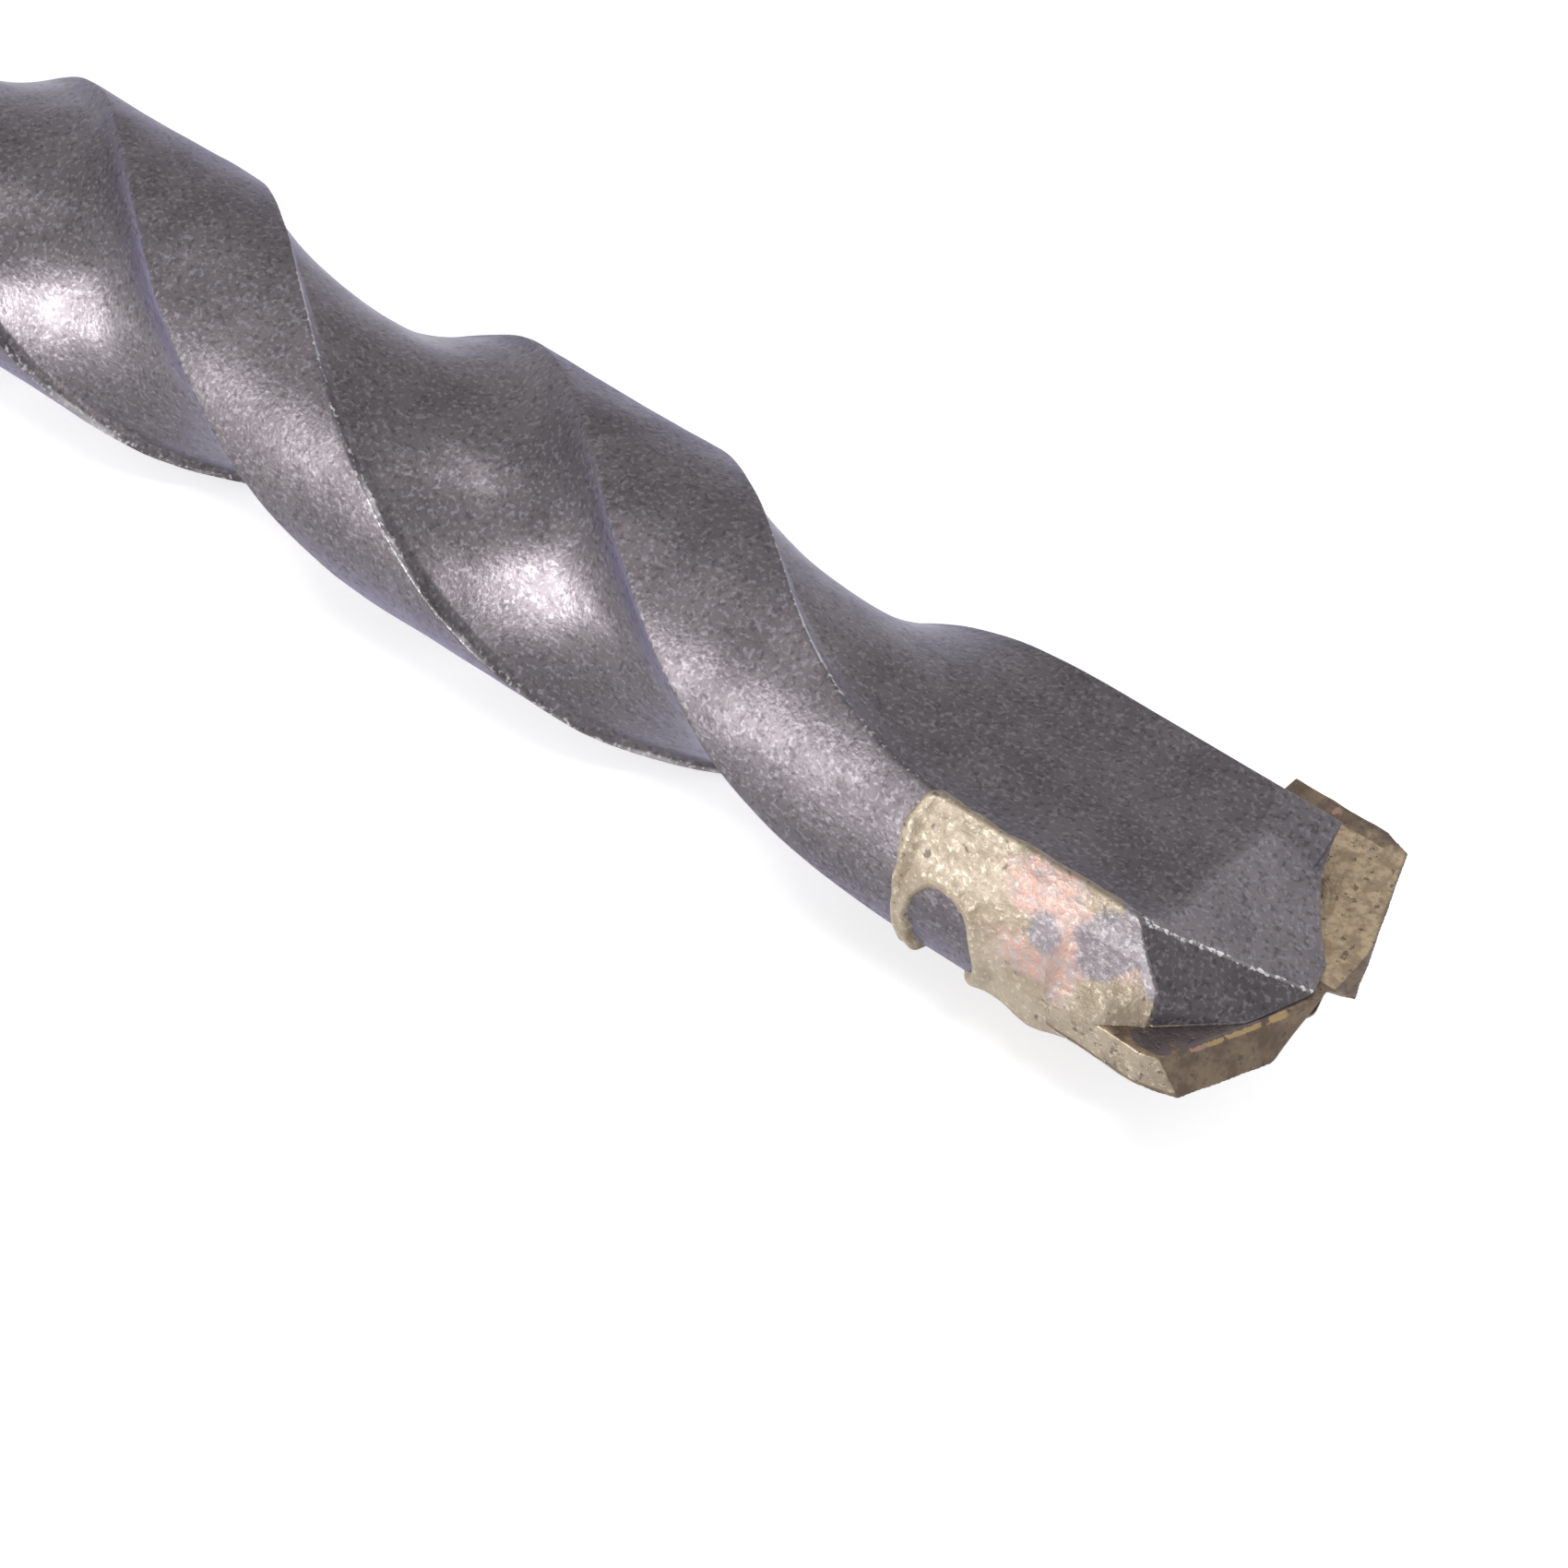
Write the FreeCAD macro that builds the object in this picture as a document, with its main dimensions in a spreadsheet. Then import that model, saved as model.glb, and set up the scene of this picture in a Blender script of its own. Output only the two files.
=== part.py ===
# Masonry drill bit for a rotary hammer: a twisted steel body with a slotted shank, and a carbide
# plate that is brazed into a slot across its head.
#
# Millimetres. X runs along the bit from the rear end of the shank to the tip, Y is the direction
# in which the carbide plate is wide, and Z is square to the plate's broad faces. The origin is on
# the axis at the rear end of the shank. The bit lies on its side.

import FreeCAD, Part
import math
import os

import Sketcher

from FreeCAD import Placement, Rotation, Vector

doc = FreeCAD.newDocument("masonry_drill_bit")
sheet = doc.addObject("Spreadsheet::Sheet", "Sizes")


class Dim:
    """A size as a number and as the expression that works it out from the sheet."""

    def __init__(self, number, text):
        self.number = number
        self.text = text

    def __add__(self, other):
        other = as_dim(other)
        return Dim(self.number + other.number, f"({self.text} + {other.text})")

    def __sub__(self, other):
        other = as_dim(other)
        return Dim(self.number - other.number, f"({self.text} - {other.text})")

    def __mul__(self, other):
        other = as_dim(other)
        return Dim(self.number * other.number, f"({self.text} * {other.text})")

    def __truediv__(self, other):
        other = as_dim(other)
        return Dim(self.number / other.number, f"({self.text} / {other.text})")

    def __neg__(self):
        return Dim(-self.number, f"(0 - {self.text})")


def as_dim(value):
    return value if isinstance(value, Dim) else Dim(value, f"{value:.6f}")


def tan(angle):
    return Dim(math.tan(math.radians(angle.number)), f"tan({angle.text})")


def sin(angle):
    return Dim(math.sin(math.radians(angle.number)), f"sin({angle.text})")


def cos(angle):
    return Dim(math.cos(math.radians(angle.number)), f"cos({angle.text})")


def root(value):
    return Dim(math.sqrt(value.number), f"sqrt({value.text})")


rows = 0


def size(alias, number, note):
    """Write one driving size into the sheet and hand it back."""
    global rows
    rows += 1
    sheet.set(f"A{rows}", alias)
    sheet.set(f"B{rows}", str(number))
    sheet.set(f"C{rows}", note)
    sheet.setAlias(f"B{rows}", alias)
    return Dim(number, f"Sizes.{alias}")


# Driving sizes

overall_length = size("overall_length", 160, "rear end of the shank to the point")
shank_diameter = size("shank_diameter", 10, "slotted shank and plain neck")
shank_length = size("shank_length", 58, "rear end to the end of the plain neck")
rear_chamfer = size("rear_chamfer", 1.2, "on the rear end of the shank, along it")
rear_angle = size("rear_angle", 30, "lean of that chamfer, from the axis")
neck_chamfer = size("neck_chamfer", 0.5, "length of the step down from the neck")
run_start_gap = size("run_start_gap", 2.5, "from that step to the flutes' run-out")

slot_length = size("slot_length", 32, "driving slots, open at the rear end")
slot_width = size("slot_width", 3, "driving slots")
slot_depth = size("slot_depth", 1.5, "driving slots")
groove_start = size("groove_start", 9, "rear end to the locking grooves")
groove_length = size("groove_length", 22, "locking grooves, closed at both ends")
groove_radius = size("groove_radius", 3.5, "round section of the locking grooves")
groove_depth = size("groove_depth", 1.7, "locking grooves")

land_diameter = size("land_diameter", 9.55, "across the two lands of the fluted stem")
land_angle = size("land_angle", 69, "width of a land round the axis")
land_lead = size("land_lead", 27, "from the plate to the rear edge of a land, at the head")
flute_pitch = size("flute_pitch", 39.3, "one turn of a flute")
stem_valley = size("stem_valley", 3.08, "from the axis to the lowest line of a flute, along the stem")
stem_valley_angle = size("stem_valley_angle", 40, "from a land's rear edge to that line")
stem_foot = size("stem_foot", 3.6, "from the axis to the foot of a land's front wall")
stem_foot_angle = size("stem_foot_angle", 10, "from that foot to the land's front edge")
stem_slope_bend = size("stem_slope_bend", 12, "hollow of the slope up to a land's rear edge")
stem_floor_bend = size("stem_floor_bend", 3.7, "rounding of a flute's floor")
stem_wall_bend = size("stem_wall_bend", 1.6, "hollow of a land's front wall")
head_valley = size("head_valley", 2.25, "from the plate's middle to the flute, at the head")
head_valley_side = size("head_valley_side", 1.6, "that line, across from the axis")
head_foot = size("head_foot", 2.6, "from the plate's middle to the wall's foot, at the head")
head_foot_side = size("head_foot_side", 1.9, "that foot, across from the axis")
head_slope_bend = size("head_slope_bend", 14, "hollow of the slope, at the head")
head_floor_bend = size("head_floor_bend", 30, "rounding of the floor, at the head")
head_wall_bend = size("head_wall_bend", 6, "hollow of the wall, at the head")
cutter_radius = size("cutter_radius", 20, "run-out of the flutes at the neck")
head_straight = size("head_straight", 9.6, "stretch of straight flutes behind the plate's corners")
twist_ease = size("twist_ease", 8.7, "stretch in which the twist sets in and the flutes get shallow")

plate_width = size("plate_width", 12.4, "across the carbide plate, new, for a 12 mm hole")
plate_thickness = size("plate_thickness", 1.36, "carbide plate")
plate_depth = size("plate_depth", 4.3, "plate's outer corners to its rear edge")
point_angle = size("point_angle", 137, "between the two cutting edges")
relief_angle = size("relief_angle", 23.5, "fall of the relief behind a cutting edge")
corner_length = size("corner_length", 0.95, "chamfer at the plate's outer corners, along the bit")
corner_width = size("corner_width", 0.34, "chamfer at the plate's outer corners, across")
ear_wear = size("ear_wear", 0.48, "worn off the side of the ear with the filler on it")
ear_lean = size("ear_lean", 2, "lean of the worn side, inwards to the rear")

braze_gap = size("braze_gap", 0.08, "film of filler on each side of the plate and behind it")
nose_setback = size("nose_setback", 1.35, "outer corners to where the steel's nose taper starts")
nose_angle = size("nose_angle", 45, "nose taper, from the axis")
bevel_angle = size("bevel_angle", 51, "front bevel of a jaw, falling away from the plate")
ramp_back = size("ramp_back", 0.45, "plate's middle step to the foot of the ground ramp")
ramp_angle = size("ramp_angle", 25, "ground ramp from the flute down to the point, from the axis")
ramp_turn = size("ramp_turn", 20, "the ramp's foot, falling away across the plate")
gash_angle = size("gash_angle", 41, "gash beside the plate, falling away along the cutting edge")
gash_rise = size("gash_rise", 25, "the gash's floor, rising away from the plate")

chip_side = size("chip_side", 0.2, "chipped corner of the point, across from the axis")
chip_setback = size("chip_setback", 0.8, "chipped corner, back from the point")
chip_wall = size("chip_wall", 18, "lean of the chip's wall, from the axis")
chip_floor = size("chip_floor", 10, "lean of the chip's floor, from square to the axis")
chip_sweep = size("chip_sweep", 38, "how far the chip runs sideways through the plate")
chip_fall = size("chip_fall", 23, "how far the chip drops on its way through the plate")

fillet_angle = size("fillet_angle", 30, "from an ear's plane round the land to its filler's edge")
fillet_side = size("fillet_side", 0.3, "bare strip of the ear beside its filler")
spill_start = size("spill_start", 11.2, "outer corners to the rear end of the filler spill")
spill_low = size("spill_low", 26, "from the ear's plane round to the spill's far edge")
spill_high = size("spill_high", 4, "from the ear's plane back to its near edge")
spill_bend = size("spill_bend", 1.9, "rounding of the spill across")
spill_end_angle = size("spill_end_angle", 32, "lean of the spill's rear end, from the land")

doc.recompute()

# Sizes that follow from the driving ones

ZERO = Dim(0.0, "0")
MARGIN = 2.0
OVERCUT = 0.5
SKIN = 0.02

shank_radius = shank_diameter / 2
land_radius = land_diameter / 2
half_width = plate_width / 2
half_plate = plate_thickness / 2
half_slot = half_plate + braze_gap
edge_slope = Dim(1, "1") / tan(point_angle / 2)
peak_rise = (half_width - corner_width) * edge_slope
corner_x = overall_length - peak_rise
relief_drop = plate_thickness * tan(relief_angle)
plate_rear_x = corner_x - plate_depth
slot_bottom_x = plate_rear_x - braze_gap
centre_step_x = overall_length - relief_drop
front_x = centre_step_x


def origin_plane(body, role):
    """One of the body's own origin planes, by its role."""
    return [feature for feature in body.Origin.OriginFeatures if feature.Role == role][0]


def new_body(name):
    body = doc.addObject("PartDesign::Body", name)
    body.Label = name
    return body


def new_sketch(body, name, role, lift=ZERO, shift=ZERO, turn=None, turn_axis=Vector(1, 0, 0)):
    """A sketch on an origin plane, lifted off it, shifted in it and turned about one of its axes."""
    sketch = body.newObject("Sketcher::SketchObject", name)
    sketch.AttachmentSupport = [(origin_plane(body, role), "")]
    sketch.MapMode = "FlatFace"
    angle = turn.number if turn else 0.0
    place = Placement(Vector(0, shift.number, lift.number), Rotation(turn_axis, angle))
    sketch.AttachmentOffset = place
    sketch.setExpression("AttachmentOffset.Base.y", shift.text)
    sketch.setExpression("AttachmentOffset.Base.z", lift.text)
    if turn:
        sketch.setExpression("AttachmentOffset.Rotation.Angle", turn.text)
    return sketch


def draw_outline(sketch, corners, bends=None):
    """Close an outline through its corners, as (x, y) sizes.

    bends maps the number of a corner to (radius, side): the edge that leaves that corner is then
    an arc, and side is 1 where it bulges to the right of the way to the next corner, -1 to the left.
    """
    bends = bends or {}
    points = [Vector(x.number, y.number, 0) for x, y in corners]
    for index, start in enumerate(points):
        end = points[(index + 1) % len(points)]
        if index in bends:
            radius, side = bends[index]
            chord = end - start
            half = chord.Length / 2
            sagitta = radius.number - math.sqrt(radius.number ** 2 - half ** 2)
            right = Vector(chord.y, -chord.x, 0).normalize()
            sketch.addGeometry(Part.Arc(start, (start + end) / 2 + right * (side * sagitta), end), False)
        else:
            sketch.addGeometry(Part.LineSegment(start, end), False)
    # A left-hand arc is stored the other way round, so its ends are found by their places
    ends = []
    for index, start in enumerate(points):
        first = sketch.getPoint(index, 1)
        ends.append((1, 2) if (first - start).Length < 1e-6 else (2, 1))
    for index in range(len(points)):
        after = (index + 1) % len(points)
        sketch.addConstraint(Sketcher.Constraint("Coincident", index, ends[index][1], after, ends[after][0]))
    for index, corner in enumerate(corners):
        for kind, axis, distance in (("DistanceX", "x", corner[0]), ("DistanceY", "y", corner[1])):
            at = ends[index][0]
            row = sketch.addConstraint(Sketcher.Constraint(kind, -1, 1, index, at, distance.number))
            sketch.renameConstraint(row, f"corner{index}_{axis}")
            sketch.setExpression(f"Constraints.corner{index}_{axis}", distance.text)
    for index, (radius, side) in bends.items():
        if abs(corners[index][0].number - points[(index + 1) % len(points)].x) < 1e-9:
            # A half turn between two corners at one x, so its centre is at that x too
            distance = corners[index][0]
            row = sketch.addConstraint(Sketcher.Constraint("DistanceX", -1, 1, index, 3, distance.number))
        else:
            distance = radius
            row = sketch.addConstraint(Sketcher.Constraint("Radius", index, distance.number))
        sketch.renameConstraint(row, f"bend{index}")
        sketch.setExpression(f"Constraints.bend{index}", distance.text)
    return sketch


def revolve(body, sketch, name, kind="PartDesign::Revolution"):
    """Turn a sketch all the way round about its own horizontal axis."""
    feature = body.newObject(kind, name)
    feature.Profile = sketch
    feature.ReferenceAxis = (sketch, ["H_Axis"])
    feature.Angle = 360
    return feature


def cut_along(body, sketch, name, direction, length):
    """Cut a sketch's outline through the body both ways along a direction of its own."""
    feature = body.newObject("PartDesign::Pocket", name)
    feature.Profile = sketch
    feature.UseCustomVector = True
    feature.Direction = Vector(*(part.number for part in direction))
    for axis, part in zip("xyz", direction):
        feature.setExpression(f"Direction.{axis}", part.text)
    feature.Midplane = True
    feature.Length = length.number
    feature.setExpression("Length", length.text)
    return feature


def twice_round(body, originals, name):
    """Repeat features half a turn round the bit's axis."""
    pattern = body.newObject("PartDesign::PolarPattern", name)
    pattern.Originals = originals
    pattern.Axis = (origin_plane(body, "X_Axis"), [""])
    pattern.Angle = 360
    pattern.Occurrences = 2
    body.Tip = pattern
    return pattern


# A flute's section: a short hollow wall down from the front edge of a land to its foot, a rounded
# floor, and from its lowest line a slope up to the rear edge of the other land. The twist sets in
# behind the straight head, over the stretch in which the floor rises to its level along the stem.

ease_start_x = corner_x - head_straight
ease_end_x = ease_start_x - twist_ease
twist_over_ease = twist_ease * 180 / flute_pitch
front_edge_angle = land_lead - land_angle + 180


def polar(distance, angle):
    return (distance * cos(angle), distance * sin(angle))


def between(first, last, share):
    """A value on the smooth way from the head's to the stem's, which starts and ends level."""
    level = share * share * (3 - 2 * share)
    return first * (1 - level) + last * level


def flute_section(body, name, lift, share):
    """The whole section, two lands and two flutes: share is 0 at the head and 1 along the stem."""
    stem_line = polar(stem_valley, land_lead + stem_valley_angle)
    stem_wall = polar(stem_foot, front_edge_angle - stem_foot_angle)
    valley = (between(head_valley_side, stem_line[0], share), between(head_valley, stem_line[1], share))
    foot = (between(-head_foot_side, stem_wall[0], share), between(head_foot, stem_wall[1], share))
    near = [polar(land_radius, land_lead), valley, foot, polar(land_radius, front_edge_angle)]
    far = [(-y, -z) for y, z in near]
    bends = [
        (between(head_slope_bend, stem_slope_bend, share), -1),
        (between(head_floor_bend, stem_floor_bend, share), 1),
        (between(head_wall_bend, stem_wall_bend, share), -1),
        (land_radius, 1),
    ]
    spin = twist_over_ease * (-share * share)
    sketch = new_sketch(body, name, "YZ_Plane", lift=lift, turn=spin, turn_axis=Vector(0, 0, 1))
    return draw_outline(sketch, near + far, dict(enumerate(bends * 2)))


def twist_at(x):
    """Degrees by which the flutes have turned at x: none at the head, easing in, then steady."""
    behind = ease_start_x.number - x
    ease = twist_ease.number
    rate = 360 / flute_pitch.number
    if behind <= 0:
        return 0.0
    if behind < ease:
        return rate * behind * behind / (2 * ease)
    return rate * (behind - ease / 2)


def add_twist_guide(name, front, rear):
    """The line that one point of a land's surface follows between two places along the bit."""
    spacing = 2.0
    stations = int(math.ceil((front.number - rear.number) / spacing))
    points = []
    for station in range(stations + 1):
        x = front.number + (rear.number - front.number) * station / stations
        turn = math.radians(-twist_at(x))
        points.append(Vector(x, land_radius.number * math.cos(turn), land_radius.number * math.sin(turn)))
    curve = Part.BSplineCurve()
    curve.interpolate(points)
    guide = doc.addObject("Part::Feature", name)
    guide.Shape = curve.toShape()
    return guide


def twisted_pipe(body, name, profile, sections, front, rear):
    """Carry a section straight along the bit while it turns with the twist guide."""
    spine = new_sketch(body, f"{name}_spine", "XY_Plane")
    spine.addGeometry(Part.LineSegment(Vector(front.number, 0, 0), Vector(rear.number, 0, 0)), False)
    for point, x in ((1, front), (2, rear)):
        spine.addConstraint(Sketcher.Constraint("PointOnObject", 0, point, -1))
        row = spine.addConstraint(Sketcher.Constraint("DistanceX", -1, 1, 0, point, x.number))
        spine.renameConstraint(row, f"end{point}")
        spine.setExpression(f"Constraints.end{point}", x.text)
    pipe = body.newObject("PartDesign::AdditivePipe", name)
    pipe.Profile = profile
    pipe.Spine = spine
    pipe.Mode = "Auxiliary"
    pipe.AuxiliarySpine = (add_twist_guide(f"{name}_guide", front, rear), ["Edge1"])
    pipe.AuxiliaryCurvilinear = False
    if sections:
        pipe.Transformation = "Multisection"
        pipe.Sections = sections
    return pipe


# Shared cuts at the head, which trim the steel and the filler flush with each other

def cut_nose(body, turned_from=None):
    """Taper the nose, and where turned_from is given, turn the head to the lands' diameter too."""
    taper_x = corner_x - nose_setback
    front = front_x + OVERCUT
    outside = land_radius + MARGIN * 2
    taper = [(taper_x, land_radius), (front, land_radius - (front - taper_x) * tan(nose_angle))]
    if turned_from:
        corners = [(turned_from, land_radius)] + taper + [(front, outside), (turned_from, outside)]
    else:
        corners = taper + [(front, outside), (taper_x, outside)]
    sketch = draw_outline(new_sketch(body, "nose_outline", "XY_Plane"), corners)
    return revolve(body, sketch, "nose_taper", "PartDesign::Groove")


def cut_jaws(body):
    """Grind the front of a jaw: a bevel beyond the plate's relief, a ramp and a gash at its edge."""
    top = corner_x + plate_width
    far = land_radius + MARGIN
    through = plate_width * 3
    bevel = new_sketch(body, "bevel_outline", "XZ_Plane")
    draw_outline(bevel, [
        (centre_step_x, half_plate),
        (top, half_plate),
        (top, far),
        (centre_step_x - (far - half_plate) * tan(bevel_angle), far),
    ])
    along_edge = (edge_slope, Dim(1, "1"), ZERO)
    bevel_cut = cut_along(body, bevel, "jaw_bevel", along_edge, through)
    foot_x = centre_step_x - ramp_back
    ramp = new_sketch(body, "ramp_outline", "XZ_Plane")
    draw_outline(ramp, [
        (foot_x, half_plate),
        (top, half_plate),
        (top, far),
        (foot_x - (far - half_plate) / tan(ramp_angle), far),
    ])
    across = (-tan(ramp_turn), Dim(1, "1"), ZERO)
    ramp_cut = cut_along(body, ramp, "jaw_ramp", across, through)
    start = centre_step_x - chip_side * tan(gash_angle)
    gash = new_sketch(body, "gash_outline", "XZ_Plane")
    draw_outline(gash, [
        (start, half_plate),
        (start + (far - half_plate) * tan(gash_rise), far),
        (top + far, far),
        (top + far, half_plate),
    ])
    down_edge = (-tan(gash_angle), Dim(1, "1"), ZERO)
    gash_cut = cut_along(body, gash, "jaw_gash", down_edge, through)
    return twice_round(body, [bevel_cut, ramp_cut, gash_cut], "jaws")


def cut_chip(body):
    """Break the far side of the point away, down to a floor and back to a wall."""
    apex = (overall_length - chip_setback, -chip_side)
    reach = plate_width
    sketch = new_sketch(body, "chip_outline", "XY_Plane", lift=half_plate)
    draw_outline(sketch, [
        apex,
        (apex[0] + reach, apex[1] + reach * tan(chip_wall)),
        (apex[0] + reach, apex[1] - reach),
        (apex[0] + reach * tan(chip_floor), apex[1] - reach),
    ])
    feature = body.newObject("PartDesign::Pocket", "chip")
    feature.Profile = sketch
    feature.UseCustomVector = True
    direction = (-tan(chip_fall) / cos(chip_sweep), tan(chip_sweep), Dim(-1, "-1"))
    feature.Direction = Vector(*(part.number for part in direction))
    for axis, part in zip("xyz", direction):
        feature.setExpression(f"Direction.{axis}", part.text)
    feature.Length = plate_width.number
    feature.setExpression("Length", plate_width.text)
    return feature


def make_drill_body():
    """The steel: shank, plain neck and run-out turned in one, then the fluted stem and its head."""
    body = new_body("drill_body")
    neck_end = shank_length + neck_chamfer
    run_start = neck_end + run_start_gap
    core = stem_valley - SKIN
    rise = land_radius - core
    run_length = root(rise * (cutter_radius * 2 - rise))
    turned = new_sketch(body, "turned_outline", "XY_Plane")
    draw_outline(turned, [
        (ZERO, ZERO),
        (run_start + run_length, ZERO),
        (run_start + run_length, core),
        (run_start, land_radius),
        (neck_end, land_radius),
        (shank_length, shank_radius),
        (rear_chamfer, shank_radius),
        (ZERO, shank_radius - rear_chamfer * tan(rear_angle)),
    ], {2: (cutter_radius, -1)})
    revolve(body, turned, "turned_blank")

    slot = new_sketch(body, "driving_slot_outline", "XY_Plane", lift=shank_radius)
    half = slot_width / 2
    draw_outline(slot, [
        (-slot_width, -half),
        (slot_length - half, -half),
        (slot_length - half, half),
        (-slot_width, half),
    ], {1: (half, 1)})
    pocket = body.newObject("PartDesign::Pocket", "driving_slot")
    pocket.Profile = slot
    pocket.Length = slot_depth.number
    pocket.setExpression("Length", slot_depth.text)
    centre = shank_radius - groove_depth + groove_radius
    groove = new_sketch(body, "locking_groove_outline", "XY_Plane", shift=centre)
    draw_outline(groove, [
        (groove_start, ZERO),
        (groove_start + groove_radius, -groove_radius),
        (groove_start + groove_length - groove_radius, -groove_radius),
        (groove_start + groove_length, ZERO),
    ], {0: (groove_radius, 1), 2: (groove_radius, 1)})
    locking = revolve(body, groove, "locking_groove", "PartDesign::Groove")
    twice_round(body, [pocket, locking], "shank_grooves")

    rear_x = run_start - neck_chamfer
    stations = 4
    sections = []
    for station in range(stations + 1):
        share = station / stations
        lift = ease_start_x - twist_ease * share
        sections.append(flute_section(body, f"section_{station}", lift, share))
    twisted_pipe(body, "fluted_stem", sections[-1], [], ease_end_x, rear_x)
    twisted_pipe(body, "flute_transition", sections[0], sections[1:], ease_start_x, ease_end_x)
    head_length = front_x - ease_start_x
    head = body.newObject("PartDesign::Pad", "straight_head")
    head.Profile = sections[0]
    head.Length = head_length.number
    head.setExpression("Length", head_length.text)

    cut_nose(body)
    cut_plate_slot(body, slot_bottom_x, half_slot)
    cut_jaws(body)
    cut_chip(body)
    return body


def cut_plate_slot(body, bottom_x, half_height):
    """Cut straight across the head, from the front down to a flat bottom."""
    sketch = new_sketch(body, "plate_slot_outline", "XZ_Plane")
    front = overall_length + MARGIN
    draw_outline(sketch, [
        (bottom_x, -half_height),
        (front, -half_height),
        (front, half_height),
        (bottom_x, half_height),
    ])
    pocket = body.newObject("PartDesign::Pocket", "plate_slot")
    pocket.Profile = sketch
    pocket.Midplane = True
    pocket.Length = (plate_width * 2).number
    pocket.setExpression("Length", (plate_width * 2).text)
    return pocket


def make_carbide_plate():
    """The carbide: each half is ruled from the face with its cutting edge to the relieved face."""
    body = new_body("carbide_plate")

    def half_outline(name, lift, drop):
        sketch = new_sketch(body, name, "XY_Plane", lift=lift)
        return draw_outline(sketch, [
            (plate_rear_x, ZERO),
            (overall_length - drop, ZERO),
            (corner_x - drop, half_width - corner_width),
            (corner_x - corner_length - drop, half_width),
            (plate_rear_x, half_width),
        ])

    edge_face = half_outline("edge_face_outline", half_plate, ZERO)
    relieved_face = half_outline("relieved_face_outline", -half_plate, relief_drop)
    half = body.newObject("PartDesign::AdditiveLoft", "plate_half")
    half.Profile = edge_face
    half.Sections = [relieved_face]
    half.Ruled = True
    twice_round(body, [half], "plate_halves")

    front = overall_length + MARGIN
    worn_side = half_width - ear_wear
    beyond = half_width + MARGIN
    worn = new_sketch(body, "worn_side_outline", "XY_Plane")
    draw_outline(worn, [
        (plate_rear_x - MARGIN, -worn_side + (plate_depth + MARGIN) * tan(ear_lean)),
        (corner_x - corner_length, -worn_side + corner_length * tan(ear_lean)),
        (front, -worn_side + (front - corner_x + corner_length) * corner_width / corner_length),
        (front, -beyond),
        (plate_rear_x - MARGIN, -beyond),
    ])
    worn_cut = body.newObject("PartDesign::Pocket", "worn_side")
    worn_cut.Profile = worn
    worn_cut.Midplane = True
    worn_cut.Length = plate_width.number
    worn_cut.setExpression("Length", plate_width.text)
    cut_chip(body)
    return body


def make_braze_joint():
    """The filler: a film round the plate in its slot, and what ran out behind one ear."""
    body = new_body("braze_joint")
    fill = new_sketch(body, "fill_outline", "XZ_Plane")
    draw_outline(fill, [
        (slot_bottom_x, -half_slot),
        (front_x, -half_slot),
        (front_x, half_slot),
        (slot_bottom_x, half_slot),
    ])
    block = body.newObject("PartDesign::Pad", "fill_block")
    block.Profile = fill
    block.Midplane = True
    block.Length = plate_width.number
    block.setExpression("Length", plate_width.text)
    cut_nose(body, turned_from=slot_bottom_x - MARGIN)
    cut_plate_slot(body, plate_rear_x, half_plate)
    fill_ear(body)
    cut_jaws(body)
    cut_chip(body)
    add_spill(body)
    return body


def pad_along(body, sketch, name, length):
    pad = body.newObject("PartDesign::Pad", name)
    pad.Profile = sketch
    pad.Length = length.number
    pad.setExpression("Length", length.text)
    return pad


def fill_ear(body):
    """The slope of filler from the land to one ear of the plate, up to the nose's taper."""
    root_side = root(land_radius * land_radius - half_slot * half_slot)
    inner_side = root_side - braze_gap * 2
    sketch = new_sketch(body, "ear_fillet_outline", "YZ_Plane", lift=plate_rear_x)
    draw_outline(sketch, [
        (-inner_side, half_plate),
        (-inner_side, half_slot),
        (-root_side, half_slot),
        polar(land_radius, Dim(180, "180") - fillet_angle),
        (-(half_width - fillet_side), half_plate),
    ], {2: (land_radius, -1)})
    return pad_along(body, sketch, "ear_fillet", plate_depth - nose_setback)


def add_spill(body):
    """What ran out over the land behind that ear: rounded across, and lean at its rear end."""
    rear = corner_x - spill_start
    first = polar(land_radius, Dim(180, "180") - spill_high)
    last = polar(land_radius, Dim(180, "180") + spill_low)
    sketch = new_sketch(body, "spill_outline", "YZ_Plane", lift=rear)
    draw_outline(sketch, [first, last], {0: (spill_bend, 1), 1: (land_radius, -1)})
    pad_along(body, sketch, "spill", spill_start - plate_depth)
    lean = new_sketch(body, "spill_end_outline", "XY_Plane")
    crest = land_radius + MARGIN
    draw_outline(lean, [
        (rear, land_radius),
        (rear + (crest - land_radius) / tan(spill_end_angle), crest),
        (rear - MARGIN, crest),
        (rear - MARGIN, land_radius),
    ])
    return revolve(body, lean, "spill_end", "PartDesign::Groove")


pieces = [make_drill_body(), make_carbide_plate(), make_braze_joint()]
doc.recompute()

for item in doc.Objects:
    if "Invalid" in item.State or "Error" in item.State:
        raise RuntimeError(f"{item.Name} could not be built: {item.State}")
for piece in pieces:
    if piece.Shape.isNull() or not piece.Shape.isValid():
        raise RuntimeError(f"{piece.Label} has no sound shape")

os.makedirs("parts", exist_ok=True)
for piece in pieces:
    piece.Shape.exportStep(f"parts/{piece.Label}.step")
    print(piece.Label, len(piece.Shape.Solids), round(piece.Shape.Volume, 1))
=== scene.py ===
"""Looks of a masonry drill bit: twisted steel, a brazed carbide plate and its filler."""

import math

import bmesh
import bpy
import numpy as np
from bpy.props import FloatProperty, FloatVectorProperty, IntProperty, PointerProperty
from bpy.types import Operator, Panel, PropertyGroup
from mathutils import Matrix, Vector


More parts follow.
